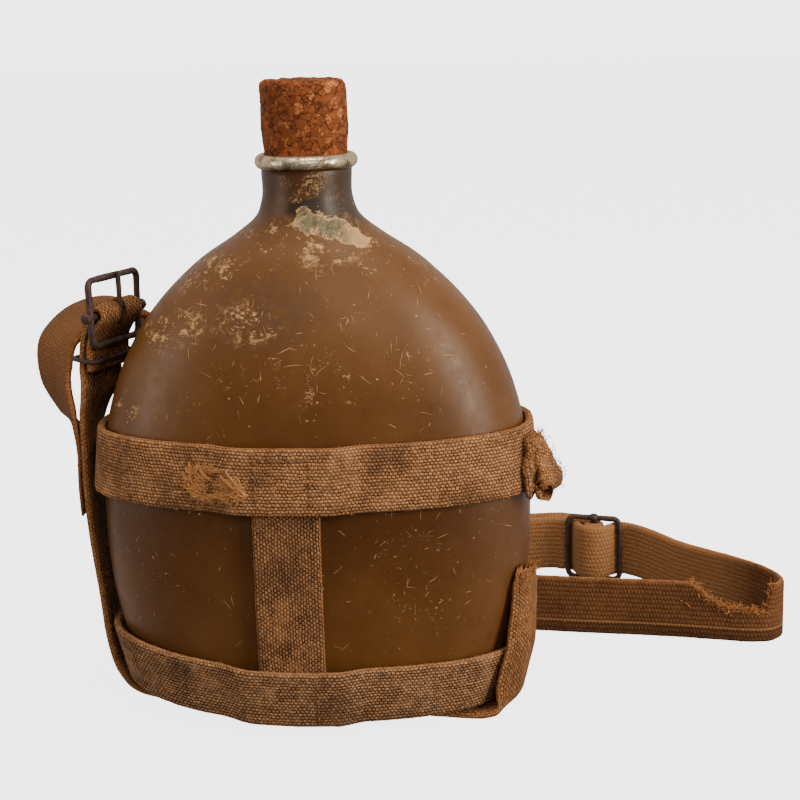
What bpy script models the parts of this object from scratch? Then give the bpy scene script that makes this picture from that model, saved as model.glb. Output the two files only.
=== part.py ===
"""One-litre flask in a webbing carrier: flask, cork, two bands, cradle, sling with buckle, shoulder strap.

Frame: X to the flask's right, -Y to its front, +Z up. The origin lies on the surface that the
canteen stands on, under the flask's axis. Sizes below are millimetres; MM turns them into metres.
"""

import math

import bmesh
import bpy
import numpy as np
from mathutils import Matrix, Vector

MM = 0.001
GAP = 0.3

# Webbing
WEB_WIDTH = 22.0
WEB_THICK = 2.6
WEB_HALF = WEB_THICK / 2

# Flask
BASE_Z = 5.8
BASE_HALF_WIDTH = 66.2
BASE_CORNER = 15.0
BODY_HALF_WIDTH = 72.3
BODY_HALF_DEPTH = 36.0
NECK_RADIUS = 14.9
WALL = 1.1
RIM_Z = 185.7
RIM_HALF_HEIGHT = 2.5
RIM_PROUD = 2.0
BORE_RADIUS = 13.9
OUTLINE = (
    (20.8, BASE_HALF_WIDTH),
    (45, 71.0),
    (67, BODY_HALF_WIDTH),
    (90, 71.4),
    (105, 68.7),
    (120, 63.4),
    (135, 54.8),
    (147, 44.2),
    (155, 35.0),
    (162, 24.4),
    (168, 17.2),
    (173, 15.2),
    (RIM_Z - RIM_HALF_HEIGHT, NECK_RADIUS),
)

# Cork
CORK_TOP_Z = 212.0
CORK_BOTTOM_Z = 172.7
CORK_TOP_RADIUS = 14.4
CORK_BOTTOM_RADIUS = 13.0

# Bands and cradle
UPPER_BAND_Z = 87.9
LOWER_BAND_Z = 13.4
LOWER_BAND_WIDTH = 20.0
LOWER_FACE_LEAN = 3.0
LOWER_RIGHT_LEAN = 5.6
CRADLE_X = -6.0
CRADLE_TOP_Z = 96.0
BULGE_FADE = 12.0

# Buckle on the left, with its bar along its own X axis
BAR_CENTRE = (-66.5, 0.0, 136.3)
BUCKLE_TURN = math.radians(67)
FRAME_WIRE = 1.15
FRAME_TOP = 12.2
FRAME_BOTTOM = -9.8
FRAME_HALF_TOP = 13.6
FRAME_HALF_BOTTOM = 13.0
BAR_RADIUS = 1.2
BAR_HALF_LENGTH = 16.6
PRONG_RADIUS = 0.9

# Slide adjuster on the shoulder strap, with its bar upright
SLIDER_CENTRE = (99.0, 119.5, 14.5)
SLIDER_TURN = math.radians(-15)
SLIDER_HALF_LENGTH = 10.8
SLIDER_HALF_HEIGHT = 12.9


# ---------------------------------------------------------------- scene and materials


def clear_scene():
    for old in list(bpy.data.objects):
        bpy.data.objects.remove(old, do_unlink=True)


def new_collection(name, hidden=False):
    made = bpy.data.collections.new(name)
    made.hide_render = hidden
    bpy.context.scene.collection.children.link(made)
    return made


def new_material(name, color, roughness, metallic=0.0):
    made = bpy.data.materials.new(name)
    made.use_nodes = True
    shader = made.node_tree.nodes["Principled BSDF"]
    shader.inputs["Base Color"].default_value = (*color, 1.0)
    shader.inputs["Roughness"].default_value = roughness
    shader.inputs["Metallic"].default_value = metallic
    return made


clear_scene()
CANTEEN = new_collection("canteen")
CUTTERS = new_collection("cutters", hidden=True)
PAINT = new_material("brown_paint", (0.15, 0.07, 0.025), 0.4)
CORK = new_material("cork", (0.30, 0.11, 0.035), 0.85)
WEBBING = new_material("webbing", (0.26, 0.13, 0.055), 0.95)
WIRE = new_material("dark_wire", (0.07, 0.04, 0.03), 0.5, 0.8)
THREAD = new_material("thread", (0.20, 0.10, 0.045), 0.9)


# ---------------------------------------------------------------- general shapes


def add_object(name, mesh, material, collection=CANTEEN):
    obj = bpy.data.objects.new(name, mesh)
    collection.objects.link(obj)
    mesh.materials.clear()
    mesh.materials.append(material)
    return obj


def cubic_through(knots, values, at):
    """Value at a place on smooth cubic steps through values at rising knots."""
    slopes = np.gradient(values, knots, axis=0)
    i = int(np.clip(np.searchsorted(knots, at) - 1, 0, len(knots) - 2))
    step = knots[i + 1] - knots[i]
    t = (at - knots[i]) / step
    level = values[i] * (2 * t**3 - 3 * t**2 + 1) + values[i + 1] * (3 * t**2 - 2 * t**3)
    return level + step * (slopes[i] * (t**3 - 2 * t**2 + t) + slopes[i + 1] * (t**3 - t**2))


def smooth_between(stations, steps):
    """A smooth line through rows of numbers, with some steps from each row to the next."""
    rows = np.array(stations, float)
    spans = np.sqrt(np.linalg.norm(np.diff(rows, axis=0), axis=1))
    knots = np.concatenate([[0.0], np.cumsum(spans)])
    places = [k + span * i / steps for k, span in zip(knots, spans) for i in range(steps)]
    return [cubic_through(knots, rows, place) for place in places + [knots[-1]]]


def loft(name, rings, material, closed=False, sharp=40):
    """Skin over rings of equal length; closed joins the last ring to the first, otherwise both are capped."""
    mesh = bpy.data.meshes.new(name)
    shape = bmesh.new()
    loops = [[shape.verts.new([value * MM for value in point]) for point in ring] for ring in rings]
    pairs = list(zip(loops, loops[1:]))
    if closed:
        pairs.append((loops[-1], loops[0]))
    for low, high in pairs:
        for i in range(len(low)):
            j = (i + 1) % len(low)
            shape.faces.new((low[i], low[j], high[j], high[i]))
    if not closed:
        shape.faces.new(loops[0][::-1])
        shape.faces.new(loops[-1])
    bmesh.ops.recalc_face_normals(shape, faces=shape.faces)
    shape.to_mesh(mesh)
    shape.free()
    mesh.shade_smooth()
    mesh.set_sharp_from_angle(angle=math.radians(sharp))
    return add_object(name, mesh, material)


def ribbon(name, stations, material=WEBBING, width=WEB_WIDTH, thick=WEB_THICK, closed=False):
    """A strap along stations of (x, y, z, across x, across y, across z), with a rectangular section."""
    points = [np.array(row[:3], float) for row in stations]
    rings = []
    for i, row in enumerate(stations):
        before = points[i - 1] if closed else points[max(i - 1, 0)]
        after = points[(i + 1) % len(points)] if closed else points[min(i + 1, len(points) - 1)]
        along = after - before
        along /= np.linalg.norm(along)
        across = np.array(row[3:], float)
        across -= along * across.dot(along)
        across /= np.linalg.norm(across)
        out = np.cross(along, across)
        corners = ((1, 1), (-1, 1), (-1, -1), (1, -1))
        rings.append([points[i] + across * width / 2 * u + out * thick / 2 * v for u, v in corners])
    return loft(name, rings, material, closed, sharp=60)


def turned(name, profile, material, steps=32):
    """A solid of revolution about Z; the profile of (radius, z) runs from the top of the axis down to its foot."""
    mesh = bpy.data.meshes.new(name)
    points = [(radius * MM, 0, z * MM) for radius, z in profile]
    mesh.from_pydata(points, [(i, i + 1) for i in range(len(points) - 1)], [])
    obj = add_object(name, mesh, material)
    screw = obj.modifiers.new("Turn", "SCREW")
    screw.steps = screw.render_steps = steps
    screw.use_merge_vertices = True
    screw.merge_threshold = 0.00002
    screw.use_smooth_shade = True
    return obj


def wire(name, points, radius, material, closed=False, resolution=2):
    """A round wire along points in millimetres, as a curve object."""
    curve = bpy.data.curves.new(name, "CURVE")
    curve.dimensions = "3D"
    curve.bevel_depth = radius * MM
    curve.bevel_resolution = resolution
    curve.use_fill_caps = True
    spline = curve.splines.new("POLY")
    spline.points.add(len(points) - 1)
    for place, point in zip(spline.points, points):
        place.co = (*[value * MM for value in point], 1.0)
    spline.use_cyclic_u = closed
    curve.materials.append(material)
    obj = bpy.data.objects.new(name, curve)
    CANTEEN.objects.link(obj)
    return obj


def as_mesh(obj):
    """The mesh object that takes a curve object's place, with its caps welded."""
    bpy.context.view_layer.update()
    graph = bpy.context.evaluated_depsgraph_get()
    mesh = bpy.data.meshes.new_from_object(obj.evaluated_get(graph))
    shape = bmesh.new()
    shape.from_mesh(mesh)
    bmesh.ops.remove_doubles(shape, verts=shape.verts, dist=0.000001)
    shape.to_mesh(mesh)
    shape.free()
    name, matrix, material = obj.name, obj.matrix_world.copy(), obj.data.materials[0]
    bpy.data.objects.remove(obj, do_unlink=True)
    made = add_object(name, mesh, material)
    made.matrix_world = matrix
    return made


def cylinder_between(name, start, end, radius, collection=CUTTERS, segments=20):
    start, end = Vector(start) * MM, Vector(end) * MM
    mesh = bpy.data.meshes.new(name)
    shape = bmesh.new()
    turn = (end - start).to_track_quat("Z", "Y").to_matrix().to_4x4()
    bmesh.ops.create_cone(
        shape,
        cap_ends=True,
        segments=segments,
        radius1=radius * MM,
        radius2=radius * MM,
        depth=(end - start).length,
        matrix=Matrix.Translation((start + end) / 2) @ turn,
    )
    shape.to_mesh(mesh)
    shape.free()
    made = add_object(name, mesh, WIRE, collection)
    made.display_type = "WIRE"
    made.hide_render = True
    return made


def block(name, size, centre):
    """A cutter box in the buckle's own frame."""
    mesh = bpy.data.meshes.new(name)
    shape = bmesh.new()
    bmesh.ops.create_cube(shape, size=MM)
    bmesh.ops.scale(shape, vec=size, verts=shape.verts)
    bmesh.ops.translate(shape, vec=[value * MM for value in centre], verts=shape.verts)
    shape.to_mesh(mesh)
    shape.free()
    made = add_object(name, mesh, WIRE, CUTTERS)
    made.location = [value * MM for value in BAR_CENTRE]
    made.rotation_euler = (0, 0, BUCKLE_TURN)
    made.display_type = "WIRE"
    made.hide_render = True
    return made


def boolean(obj, other, operation):
    step = obj.modifiers.new(other.name, "BOOLEAN")
    step.operation = operation
    step.object = other


def rounded_outline(half_top, half_bottom, top, bottom, corner, steps=4):
    """Points (x, z) of a frame with rounded corners, which may be wider at its top than at its foot."""
    corners = (
        (half_top - corner, top - corner, 0),
        (-half_top + corner, top - corner, 90),
        (-half_bottom + corner, bottom + corner, 180),
        (half_bottom - corner, bottom + corner, 270),
    )
    made = []
    for x, z, start in corners:
        for step in range(steps + 1):
            angle = math.radians(start + 90 * step / steps)
            made.append((x + corner * math.cos(angle), z + corner * math.sin(angle)))
    return made


# ---------------------------------------------------------------- flask surface


def outline_at(z):
    """Half width of the flask at a height above its rounded foot."""
    heights, widths = np.array(OUTLINE, float).T
    return float(cubic_through(heights, widths, z))


def flask_section(z):
    """(half width, half depth, squareness) of the flask at a height."""
    corner_top = BASE_Z + BASE_CORNER
    inset = 0.0
    if z < corner_top:
        inset = BASE_CORNER - math.sqrt(max(BASE_CORNER**2 - (corner_top - z) ** 2, 0.0))
    half_width = outline_at(max(z, corner_top))
    fullness = max(half_width - NECK_RADIUS, 0.0) / (BODY_HALF_WIDTH - NECK_RADIUS)
    half_depth = NECK_RADIUS + (BODY_HALF_DEPTH - NECK_RADIUS) * fullness**0.85
    return half_width - inset, half_depth - inset, 2.0 + 0.45 * fullness


def oval(half_width, half_depth, squareness, angle):
    c, s = math.cos(angle), math.sin(angle)
    x = half_width * math.copysign(abs(c) ** (2 / squareness), c)
    y = half_depth * math.copysign(abs(s) ** (2 / squareness), s)
    return x, y


def flask_ring(z, offset, count=36):
    half_width, half_depth, squareness = flask_section(z)
    made = []
    for i in range(count):
        x, y = oval(half_width + offset, half_depth + offset, squareness, 2 * math.pi * i / count)
        made.append((x, y, z))
    return made


def circle_ring(radius, z, count=36):
    return [oval(radius, radius, 2.0, 2 * math.pi * i / count) + (z,) for i in range(count)]


def front_y(x, z, gap):
    """Depth of the flask's front surface, plus a gap, at x and z: a positive number."""
    half_width, half_depth, squareness = flask_section(z)
    share = min(abs(x) / (half_width + gap), 1.0)
    return (half_depth + gap) * (1 - share**squareness) ** (1 / squareness)


def make_flask():
    corner = [BASE_Z + BASE_CORNER * (1 - math.cos(math.radians(90 * i / 6))) for i in range(6)]
    body = [20.8, 33, 45, 56, 67, 78, 90, 98, 105, 112, 120, 127, 135, 141, 147, 151, 155, 158.5, 162, 165, 168]
    neck = [170.5, 173, 177, RIM_Z - RIM_HALF_HEIGHT]
    outer = [flask_ring(z, 0.0) for z in corner + body + neck]
    middle = (NECK_RADIUS + BORE_RADIUS) / 2
    rim = []
    for i in range(1, 8):
        angle = math.radians(-90 + 180 * i / 8)
        proud = NECK_RADIUS + RIM_PROUD - middle
        rim.append(circle_ring(middle + proud * math.cos(angle), RIM_Z + RIM_HALF_HEIGHT * math.sin(angle)))
    rim.append(circle_ring(BORE_RADIUS, RIM_Z + RIM_HALF_HEIGHT - 0.5))
    bore = [circle_ring(BORE_RADIUS, z) for z in (RIM_Z - RIM_HALF_HEIGHT, 177)]
    inside = [flask_ring(z, -WALL) for z in reversed([z for z in corner if z > BASE_Z + WALL] + body + neck[:2])]
    return loft("flask_body", outer + rim + bore + inside, PAINT)


def make_cork():
    profile = [
        (0, CORK_TOP_Z),
        (CORK_TOP_RADIUS - 0.8, CORK_TOP_Z),
        (CORK_TOP_RADIUS, CORK_TOP_Z - 0.8),
        (CORK_BOTTOM_RADIUS, CORK_BOTTOM_Z + 0.8),
        (CORK_BOTTOM_RADIUS - 0.8, CORK_BOTTOM_Z),
        (0, CORK_BOTTOM_Z),
    ]
    middle = (CORK_TOP_Z + CORK_BOTTOM_Z) / 2
    cork = turned("cork_stopper", [(radius, z - middle) for radius, z in profile], CORK)
    cork.location = (0, 0, middle * MM)


# ---------------------------------------------------------------- bands and cradle


def bulge(x):
    """Share from 0 to 1 by which a band stands off where it passes over the cradle strap."""
    beyond = (abs(x - CRADLE_X) - WEB_WIDTH / 2 - 3) / BULGE_FADE
    share = min(max(beyond, 0.0), 1.0)
    return 1 - share * share * (3 - 2 * share)


def upper_lift(x):
    """Height of the upper band above its level: both ends ride a little higher than the middle."""
    return 0.6 * min(abs(x) / 55, 1.0) ** 2


def lower_lift(x):
    """Height of the lower band above its level: it climbs to the left."""
    return 0.0015 * x * x if x < 0 else 0.012 * x


# (level, width, slack beyond the usual gap, lean on the faces, lean on the right, lift)
BANDS = {
    "upper": (UPPER_BAND_Z, WEB_WIDTH, 0.5, 0.0, 0.0, upper_lift),
    "lower": (LOWER_BAND_Z, LOWER_BAND_WIDTH, 1.1, LOWER_FACE_LEAN, LOWER_RIGHT_LEAN, lower_lift),
}


def band_point(band, angle, up, out=0.0):
    """A point of a band at an angle round the flask: up its width from the middle, out from mid-thickness."""
    level, width, slack, face_lean, right_lean, lift = BANDS[band]
    side_x = BODY_HALF_WIDTH * math.cos(angle)
    half_width, half_depth, squareness = flask_section(max(level + up + lift(side_x), BASE_Z + BASE_CORNER))
    gap = GAP + WEB_HALF + slack + out
    lean = face_lean + (right_lean - face_lean) * max(math.cos(angle), 0.0) ** 2
    inward = lean * (width / 2 - up) / width
    x, y = oval(half_width + gap, half_depth + gap, squareness, angle)
    over = (WEB_THICK + 3 * GAP) * bulge(x) if abs(y) > half_depth * 0.55 else 0.0
    x, y = oval(half_width + gap - inward, half_depth + gap + over - inward, squareness, angle)
    return np.array((x, y, level + up + lift(x)))


def make_bands(count=72):
    for band, (_, width, _, face_lean, _, _) in BANDS.items():
        half = math.sqrt(width**2 - face_lean**2) / 2
        stations = []
        for i in range(count):
            angle = 2 * math.pi * i / count
            low, high = band_point(band, angle, -half), band_point(band, angle, half)
            stations.append((*((low + high) / 2), *(high - low)))
        ribbon(f"{band}_band", stations, width=width, closed=True)


def make_cradle():
    """Down the front, under the base and up the back."""
    clear = GAP + WEB_HALF
    wall = [(-front_y(CRADLE_X, z, clear), z) for z in (CRADLE_TOP_Z, 84, 72, 60, 48, 36, 26)]
    foot = [(-35.6, 18), (-34.1, 11), (-32.1, 5.8), (-29.4, 2.4), (-25.5, 1.4), (-22.3, 2.3), (-19, 4.1), (-14, 4.25)]
    half = wall + foot
    route = half + [(0, 4.25)] + [(-y, z) for y, z in reversed(half)]
    points = smooth_between(route, 2)
    ribbon("cradle_strap", [(CRADLE_X, y, z, 1, 0, 0) for y, z in points])


# ---------------------------------------------------------------- sling and buckle


def buckle_to_world(x, y, z):
    c, s = math.cos(BUCKLE_TURN), math.sin(BUCKLE_TURN)
    return BAR_CENTRE[0] + c * x - s * y, BAR_CENTRE[1] + s * x + c * y, BAR_CENTRE[2] + z


def make_sling():
    """From its torn end on the right, under the base and up the left side, over the buckle's bar and down again."""
    route = [
        (72.1, -9.5, 49.5, 0.276, 0.961, 0),
        (72.1, -10.4, 40, 0.3, 0.954, 0),
        (71.5, -11.6, 31, 0.35, 0.937, 0),
        (70.9, -13.0, 23.5, 0.39, 0.92, 0),
        (69.2, -13.8, 17, 0.42, 0.907, 0),
        (67.7, -14.0, 11, 0.42, 0.907, 0),
        (66.2, -13.9, 6.2, 0.42, 0.907, 0),
        (63.8, -13.7, 3.1, 0.4, 0.917, 0),
        (59.4, -13.3, 1.8, 0.36, 0.933, 0),
        (53, -12.6, 1.45, 0.3, 0.954, 0),
        (48, -11.6, 1.36, 0.25, 0.97, 0),
        (30, -8.5, 1.3, 0.18, 0.98, 0),
        (10, -5, 1.3, 0.17, 0.98, 0),
        (-10, -1.6, 1.3, 0.16, 0.98, 0),
        (-30, 1.5, 1.3, 0.13, 0.98, 0),
        (-50, 3.5, 1.4, 0.08, 1, 0),
        (-58.5, 4.0, 1.9, 0, 1, 0),
        (-65.3, 4.0, 4.5, 0, 1, 0),
        (-69.9, 3.7, 10.5, 0, 1, 0),
        (-72.7, 3.2, 20, 0, 1, 0),
        (-74.6, 2.4, 40, 0, 1, 0),
        (-76.6, 1.2, 62, 0, 1, 0),
        (-77.3, 0.4, 80, 0, 1, 0),
        (-77.2, 0.4, 92, 0, 1, 0),
        (-75.9, 0.4, 101, 0.12, 0.99, 0),
        (-73.4, 0.4, 110, 0.3, 0.95, 0),
    ]
    across = (math.cos(BUCKLE_TURN), math.sin(BUCKLE_TURN), 0)
    outer = [(7.0, -19.5), (6.6, -14), (5.9, -9), (4.9, -5), (3.4, -1.8)]
    inner = [(-0.3, -3.9), (1.4, -6), (3.0, -9), (3.6, -14), (3.8, -19)]
    bend = BAR_RADIUS + 0.35 + WEB_HALF
    turn = [(bend * math.cos(math.radians(a)), bend * math.sin(math.radians(a))) for a in range(15, 240, 32)]
    for y, z in outer + turn + inner:
        route.append((*buckle_to_world(0, y, z), *across))
    sling = ribbon("sling_strap", smooth_between(route, 3))
    boolean(sling, block("prong_slot", (3.4, 11.0, 10.4), (0, 0, 0.8)), "DIFFERENCE")


def framed(name, outline, wire_radius, eyes, eye_half, bore, location, turn):
    """A wire frame in its own XZ plane with two drilled eyes, which carry a bar through them."""
    frame = as_mesh(wire(name, [(x, 0, z) for x, z in outline], wire_radius, WIRE, closed=True))
    for i, (start, end) in enumerate(eyes):
        boolean(frame, cylinder_between(f"{name}_eye_{i}", start, end, eye_half), "UNION")
    middle = [(Vector(start) + Vector(end)) / 2 for start, end in eyes]
    reach = (middle[1] - middle[0]) * 1.4
    centre = (middle[0] + middle[1]) / 2
    drill = cylinder_between(f"{name}_drill", centre - reach / 2, centre + reach / 2, bore)
    boolean(frame, drill, "DIFFERENCE")
    for helper in [frame] + [step.object for step in frame.modifiers]:
        helper.location = [value * MM for value in location]
        helper.rotation_euler = (0, 0, turn)
    return frame


def make_buckle():
    outline = rounded_outline(FRAME_HALF_TOP, FRAME_HALF_BOTTOM, FRAME_TOP, FRAME_BOTTOM, 2.4)
    share = -FRAME_BOTTOM / (FRAME_TOP - FRAME_BOTTOM)
    side = FRAME_HALF_BOTTOM + (FRAME_HALF_TOP - FRAME_HALF_BOTTOM) * share
    eyes = [((s * side - 1.2, 0, 0), (s * side + 1.2, 0, 0)) for s in (-1, 1)]
    framed("buckle_frame", outline, FRAME_WIRE, eyes, 2.3, BAR_RADIUS + 0.15, BAR_CENTRE, BUCKLE_TURN)

    end = BAR_HALF_LENGTH
    cap = end - 1.4
    bar = turned(
        "buckle_bar",
        [(0, end), (1.7, end), (1.9, end - 0.4), (1.9, cap), (BAR_RADIUS, cap)]
        + [(BAR_RADIUS, -cap), (1.9, -cap), (1.9, 0.4 - end), (1.7, -end), (0, -end)],
        WIRE,
        steps=16,
    )
    bar.location = [value * MM for value in BAR_CENTRE]
    bar.rotation_euler = (0, math.radians(90), BUCKLE_TURN)

    ring = BAR_RADIUS + 0.3 + PRONG_RADIUS
    curl = [math.radians(a) for a in range(440, 179, -20)]
    shank = [(0, -ring, 4), (0, -ring, 8), (0, -ring + 0.1, 11), (0, -ring + 0.2, FRAME_TOP + 1.6)]
    prong = wire(
        "buckle_prong",
        [(0, ring * math.cos(a), ring * math.sin(a)) for a in curl] + shank,
        PRONG_RADIUS,
        WIRE,
    )
    prong.location = [value * MM for value in BAR_CENTRE]
    prong.rotation_euler = (0, 0, BUCKLE_TURN)


def make_keeper():
    """A wire loop round both layers of the sling below the buckle."""
    outline = rounded_outline(12.2, 12.2, 4.0, -4.0, 1.6, steps=3)
    keeper = wire("strap_keeper", [(x, y, 0) for x, y in outline], 0.8, WIRE, closed=True)
    keeper.location = [value * MM for value in buckle_to_world(0, 5.3, -15.0)]
    keeper.rotation_euler = (math.radians(6), 0, BUCKLE_TURN)


def make_stub():
    """The torn strap end that is still sewn to the right of the upper band."""
    route = [
        (74.2, -14, 99, 0.42, 0.907, 0),
        (75.0, -14, 93.5, 0.42, 0.907, 0),
        (76.8, -13.8, 87, 0.42, 0.907, 0),
        (79.4, -13.2, 80.5, 0.4, 0.917, 0),
        (80.6, -12.6, 75, 0.36, 0.933, 0.1),
    ]
    ribbon("torn_stub", smooth_between(route, 3), width=14.0, thick=4.4)


# ---------------------------------------------------------------- shoulder strap


def slider_to_world(x, y, z=0.0):
    c, s = math.cos(SLIDER_TURN), math.sin(SLIDER_TURN)
    return SLIDER_CENTRE[0] + c * x - s * y, SLIDER_CENTRE[1] + s * x + c * y, SLIDER_CENTRE[2] + z


def make_shoulder_strap():
    """Sewn to the sling on the left, looped over behind the flask, folded there and run out to the right."""
    edge_z = WEB_WIDTH / 2 + 0.1
    loop = [
        (-80.4, 0.8, 68, 0, 1, 0),
        (-80.4, 0.6, 80, 0, 1, 0),
        (-80.6, 0.6, 90, -0.06, 1, 0),
        (-84.4, 0.6, 101.5, -0.45, 0.88, 0.1),
        (-88.6, 3.6, 114, -0.62, 0.76, 0.15),
        (-88.4, 8.0, 124.5, -0.62, 0.76, 0.15),
        (-82.0, 15.5, 131.8, -0.5, 0.84, 0.15),
        (-72.0, 26, 133.6, -0.4, 0.9, 0.1),
        (-64.5, 33.5, 130, -0.5, 0.86, 0),
        (-59.5, 38.5, 121, -0.7, 0.7, 0),
        (-56, 42.5, 104, -0.85, 0.5, 0),
        (-53.5, 46, 82, -0.95, 0.3, 0),
        (-52, 49, 58, -1, 0.1, 0),
        (-51, 54, 36, -1, 0, 0),
        (-50.5, 62, 19, -0.95, 0.05, 0.3),
        (-48, 73, 12.6, -0.75, 0.15, 0.65),
        (-42, 84, 11.8, -0.3, 0.2, 0.93),
        (-32, 92, edge_z, 0, 0, 1),
    ]
    folds = [
        (-18, 95.5),
        (5, 96),
        (28, 95.5),
        (44, 94.5),
        (50.5, 89),
        (44, 83.5),
        (28, 83),
        (5, 82.5),
        (-14, 82),
        (-23, 80.5),
        (-27.5, 75),
        (-22, 69.8),
        (-10, 69),
        (14, 69),
        (38, 67.5),
        (58, 65.5),
        (74, 62.5),
        (90, 60),
        (108, 58),
        (126, 55.5),
        (142, 52.4),
        (154, 50.2),
        (161.5, 51.4),
        (165.6, 57),
        (165, 65),
        (160.2, 74.5),
        (150.5, 86),
    ]
    climb = [(139, 96.8, 0.1), (131, 103.6, 0.7), (124.5, 109.4, 1.9), (118.5, 114.2, 3.0)]
    crest = [(13.6, 2.6), (11.4, 2.95), (9.4, 2.6), (7.7, 0.6), (6.3, -1.8), (4.6, -4.4), (2.2, -5.8)]
    tail = crest + [(0, -6.1)] + [(-x, y) for x, y in reversed(crest)]
    tail.append((-18, 3.0))
    settle = [(73, 128.6, 2.4), (63, 129.2, 0.9), (52, 129.2, 0.1)]
    route = loop + [(x, y, edge_z, 0, 0, 1) for x, y in folds]
    route += [(x, y, edge_z + rise, 0, 0, 1) for x, y, rise in climb]
    route += [(*slider_to_world(x, y), 0, 0, 1) for x, y in tail]
    route += [(x, y, edge_z + rise, 0, 0, 1) for x, y, rise in settle]
    ribbon("shoulder_strap", smooth_between(route, 3))


def make_short_strap():
    """Sewn round the slide adjuster's bar at one end, torn at the other, on the far side of the long strap."""
    bend = BAR_RADIUS + 0.3 + WEB_HALF
    turn = [(bend * math.cos(math.radians(a)), bend * math.sin(math.radians(a))) for a in range(54, -190, -30)]
    run = [(24, 135.6, -3.2), (42, 136.0, -3.0), (60, 135.9, -2.2), (75, 135.2, -1.0)]
    wrap = [(-16, 9.6), (-10, 9.2), (-6, 8.2), (-2.6, 6.3), (0.2, 4.3)] + turn
    wrap += [(-3.4, 1.9), (-4.9, 3.6), (-6.8, 5.0), (-9, 5.9), (-11.4, 6.15), (-16, 6.2), (-21, 6.3)]
    route = [(x, y, SLIDER_CENTRE[2] + fall, 0, 0, 1) for x, y, fall in run]
    route += [(*slider_to_world(x, y), 0, 0, 1) for x, y in wrap]
    ribbon("short_strap", smooth_between(route, 2))


def make_slider():
    half_x, half_z = SLIDER_HALF_LENGTH, SLIDER_HALF_HEIGHT
    outline = rounded_outline(half_x, half_x, half_z, -half_z, 3.0)
    eyes = [((0, 0, s * half_z - 1.2), (0, 0, s * half_z + 1.2)) for s in (-1, 1)]
    framed("slider_frame", outline, FRAME_WIRE, eyes, 2.3, BAR_RADIUS + 0.15, SLIDER_CENTRE, SLIDER_TURN)
    end = half_z + 1.5
    bar = turned("slider_bar", [(0, end), (BAR_RADIUS, end), (BAR_RADIUS, -end), (0, -end)], WIRE, steps=16)
    bar.location = [value * MM for value in SLIDER_CENTRE]
    bar.rotation_euler = (0, 0, SLIDER_TURN)


# ---------------------------------------------------------------- seam threads

THREAD_RADIUS = 0.35


def box_path(half_width, half_height, per_side=5):
    """Points (u, v) round a rectangle, evenly spaced along each side."""
    corners = [(-half_width, -half_height), (half_width, -half_height), (half_width, half_height)]
    corners += [(-half_width, half_height), (-half_width, -half_height)]
    made = []
    for (u0, v0), (u1, v1) in zip(corners, corners[1:]):
        for step in range(per_side):
            t = step / per_side
            made.append((u0 + (u1 - u0) * t, v0 + (v1 - v0) * t))
    return made


def on_band(band, u, v, sign):
    """A point just outside a band where it crosses the cradle strap, on the front (-1) or the back (1)."""
    level, _, slack, _, _, _ = BANDS[band]
    half_width, _, squareness = flask_section(max(level + v, BASE_Z + BASE_CORNER))
    x = CRADLE_X + u
    cosine = math.copysign((abs(x) / (half_width + GAP + WEB_HALF + slack)) ** (squareness / 2), x)
    return band_point(band, sign * math.acos(cosine), v, WEB_HALF + THREAD_RADIUS + 0.25)


def make_threads():
    for band in BANDS:
        for face, sign in (("front", -1), ("back", 1)):
            points = [on_band(band, u, v, sign) for u, v in box_path(8.6, 7.4)]
            wire(f"thread_{band}_{face}", points, THREAD_RADIUS, THREAD, closed=True, resolution=1)
    points = [(-80.5 - WEB_HALF - THREAD_RADIUS - 0.4, 0.6 + u, 79 + v) for u, v in box_path(8.4, 8.0)]
    wire("thread_left", points, THREAD_RADIUS, THREAD, closed=True, resolution=1)
    lift_off = 9.6 + WEB_HALF + THREAD_RADIUS + 0.5
    points = [slider_to_world(-13.4 + u, lift_off - 0.06 * u, v) for u, v in box_path(2.4, 8.6)]
    wire("thread_short_strap", points, THREAD_RADIUS, THREAD, closed=True, resolution=1)


make_flask()
make_cork()
make_bands()
make_cradle()
make_sling()
make_buckle()
make_keeper()
make_stub()
make_shoulder_strap()
make_short_strap()
make_slider()
make_threads()
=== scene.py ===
"""Looks for the canteen: painted flask, cork, woven webbing carrier, wire fittings and a torn shoulder strap.

Lengths below are millimetres in the row frame; MM turns them into metres. The front faces -Y.
"""

import math
import random

import bmesh
import bpy
import numpy as np
from mathutils import Matrix, Vector, noise


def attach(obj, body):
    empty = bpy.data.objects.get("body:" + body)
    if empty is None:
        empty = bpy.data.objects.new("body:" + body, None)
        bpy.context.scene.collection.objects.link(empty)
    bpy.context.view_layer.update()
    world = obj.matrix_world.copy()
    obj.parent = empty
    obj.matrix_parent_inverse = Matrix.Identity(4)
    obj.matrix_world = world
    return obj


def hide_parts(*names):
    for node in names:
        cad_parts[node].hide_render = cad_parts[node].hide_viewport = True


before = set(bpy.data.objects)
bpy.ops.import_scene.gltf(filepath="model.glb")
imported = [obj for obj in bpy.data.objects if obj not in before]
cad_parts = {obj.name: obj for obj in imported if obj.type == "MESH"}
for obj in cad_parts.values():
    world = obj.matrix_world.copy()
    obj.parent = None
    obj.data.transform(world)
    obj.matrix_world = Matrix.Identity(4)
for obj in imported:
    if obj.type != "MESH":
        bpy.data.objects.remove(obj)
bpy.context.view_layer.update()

MM = 0.001
TAU = 2 * math.pi
GAP = 0.3
WEB_WIDTH = 22.0
WEB_THICK = 2.6
WEB_HALF = WEB_THICK / 2
UV_MM = 100.0

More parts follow.
